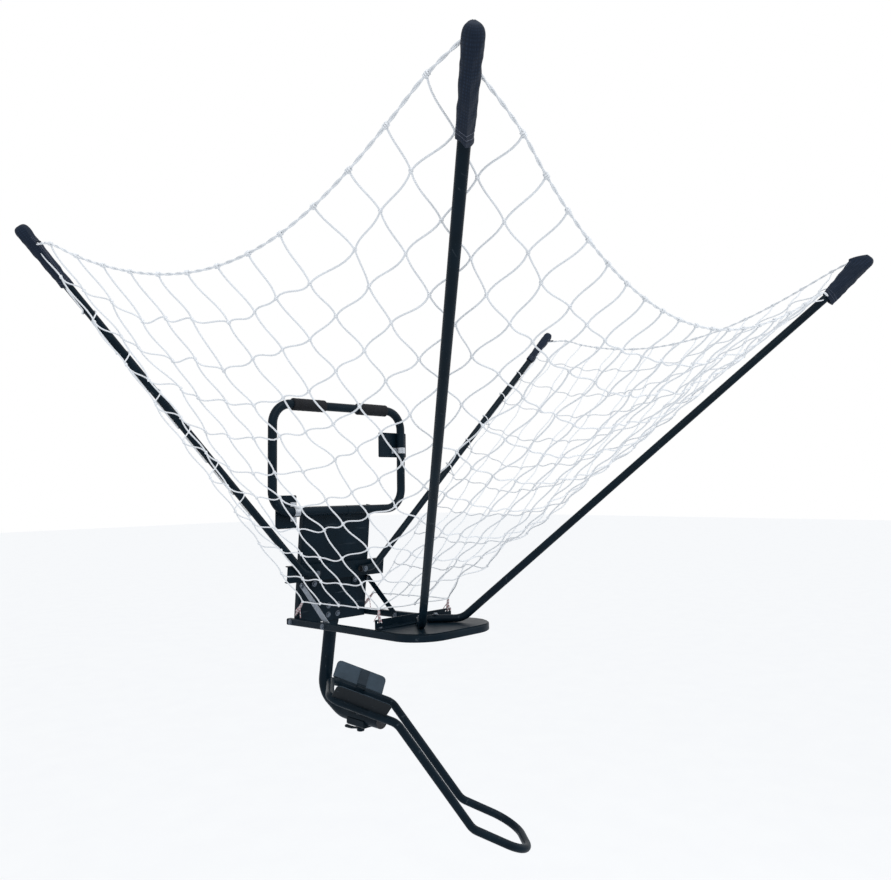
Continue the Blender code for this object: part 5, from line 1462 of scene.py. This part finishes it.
class RETURNNET_OT_foam(bpy.types.Operator):
    """Build the two foam sleeves on the hanger's top bar"""

    bl_idname = "return_net.foam"
    bl_label = "Hanger Foam Sleeves"

    def execute(self, context):
        build_hanger_sleeves()
        return {"FINISHED"}


class RETURNNET_OT_sheets(bpy.types.Operator):
    """Dress the cut sheets: plate, crossbar, shelf, net bar, struts, clamps, saddle, seat and wings"""

    bl_idname = "return_net.sheets"
    bl_label = "Sheet Parts"

    def execute(self, context):
        build_sheets()
        return {"FINISHED"}


class RETURNNET_OT_poles(bpy.types.Operator):
    """Build the four poles and the plugs in the open tube ends"""

    bl_idname = "return_net.poles"
    bl_label = "Net Poles"

    def execute(self, context):
        build_poles()
        return {"FINISHED"}


class RETURNNET_OT_base(bpy.types.Operator):
    """Build the bent square tube of the base"""

    bl_idname = "return_net.base"
    bl_label = "Base Frame"

    def execute(self, context):
        build_base()
        return {"FINISHED"}


class RETURNNET_OT_support(bpy.types.Operator):
    """Build the support tube with its flattened top"""

    bl_idname = "return_net.support"
    bl_label = "Support Tube"

    def execute(self, context):
        build_support_tube()
        return {"FINISHED"}


class RETURNNET_OT_rails(bpy.types.Operator):
    """Build the chute's rail loop, its cradle strap and its weld beads"""

    bl_idname = "return_net.rails"
    bl_label = "Chute Rails"

    def execute(self, context):
        build_chute_rails()
        build_cradle()
        return {"FINISHED"}


class RETURNNET_OT_swivel(bpy.types.Operator):
    """Build the swivel's carriage bolt and the clamp lever"""

    bl_idname = "return_net.swivel"
    bl_label = "Swivel and Lever"

    def execute(self, context):
        build_swivel()
        return {"FINISHED"}


class RETURNNET_OT_bolts(bpy.types.Operator):
    """Build the hexagon bolts, washers and nuts"""

    bl_idname = "return_net.bolts"
    bl_label = "Bolts"

    def execute(self, context):
        build_bolts()
        return {"FINISHED"}


class RETURNNET_OT_netting(bpy.types.Operator):
    """Build the knotted netting of the funnel"""

    bl_idname = "return_net.netting"
    bl_label = "Netting"

    def execute(self, context):
        build_netting()
        return {"FINISHED"}


class RETURNNET_OT_border(bpy.types.Operator):
    """Build the border cords, the rear lacing and the ties"""

    bl_idname = "return_net.border"
    bl_label = "Border, Lacing and Ties"

    def execute(self, context):
        build_border()
        build_lacing()
        build_ties()
        return {"FINISHED"}


class RETURNNET_OT_sleeves(bpy.types.Operator):
    """Build the fabric sleeves on the pole tips and their stitching"""

    bl_idname = "return_net.sleeves"
    bl_label = "Tip Sleeves"

    def execute(self, context):
        build_sleeves()
        return {"FINISHED"}


class RETURNNET_OT_stage(bpy.types.Operator):
    """Build the floor, the lamps, the world and the camera"""

    bl_idname = "return_net.stage"
    bl_label = "Studio Stage"

    def execute(self, context):
        build_floor()
        build_world()
        build_lamps()
        build_camera()
        return {"FINISHED"}


OPERATORS = (
    RETURNNET_OT_hanger, RETURNNET_OT_foam, RETURNNET_OT_sheets, RETURNNET_OT_poles, RETURNNET_OT_base,
    RETURNNET_OT_support, RETURNNET_OT_rails, RETURNNET_OT_swivel, RETURNNET_OT_bolts, RETURNNET_OT_netting,
    RETURNNET_OT_border, RETURNNET_OT_sleeves, RETURNNET_OT_stage,
)


class RETURNNET_PT_panel(bpy.types.Panel):
    """Lists the sizes, the colours and the pieces"""

    bl_idname = "RETURNNET_PT_panel"
    bl_label = "Return Net"
    bl_space_type = "VIEW_3D"
    bl_region_type = "UI"
    bl_category = "Return Net"

    def draw(self, context):
        for group in (context.scene.return_net_frame, context.scene.return_net_netting):
            box = self.layout.box()
            for name in group.__annotations__:
                box.prop(group, name)
        for operator in OPERATORS:
            self.layout.operator(operator.bl_idname)


CLASSES = (ReturnNetFrame, ReturnNetNetting, *OPERATORS, RETURNNET_PT_panel)


def register():
    """Adds the classes and the scene's two property groups."""
    for item in CLASSES:
        bpy.utils.register_class(item)
    bpy.types.Scene.return_net_frame = PointerProperty(type=ReturnNetFrame)
    bpy.types.Scene.return_net_netting = PointerProperty(type=ReturnNetNetting)


def unregister():
    """Takes away what register added."""
    del bpy.types.Scene.return_net_frame
    del bpy.types.Scene.return_net_netting
    for item in reversed(CLASSES):
        bpy.utils.unregister_class(item)


def main():
    """Builds every piece and the stage."""
    register()
    steps = bpy.ops.return_net
    steps.hanger()
    steps.foam()
    steps.sheets()
    steps.poles()
    steps.base()
    steps.support()
    steps.rails()
    steps.swivel()
    steps.bolts()
    steps.netting()
    steps.border()
    steps.sleeves()
    steps.stage()


if __name__ == "__main__":
    main()
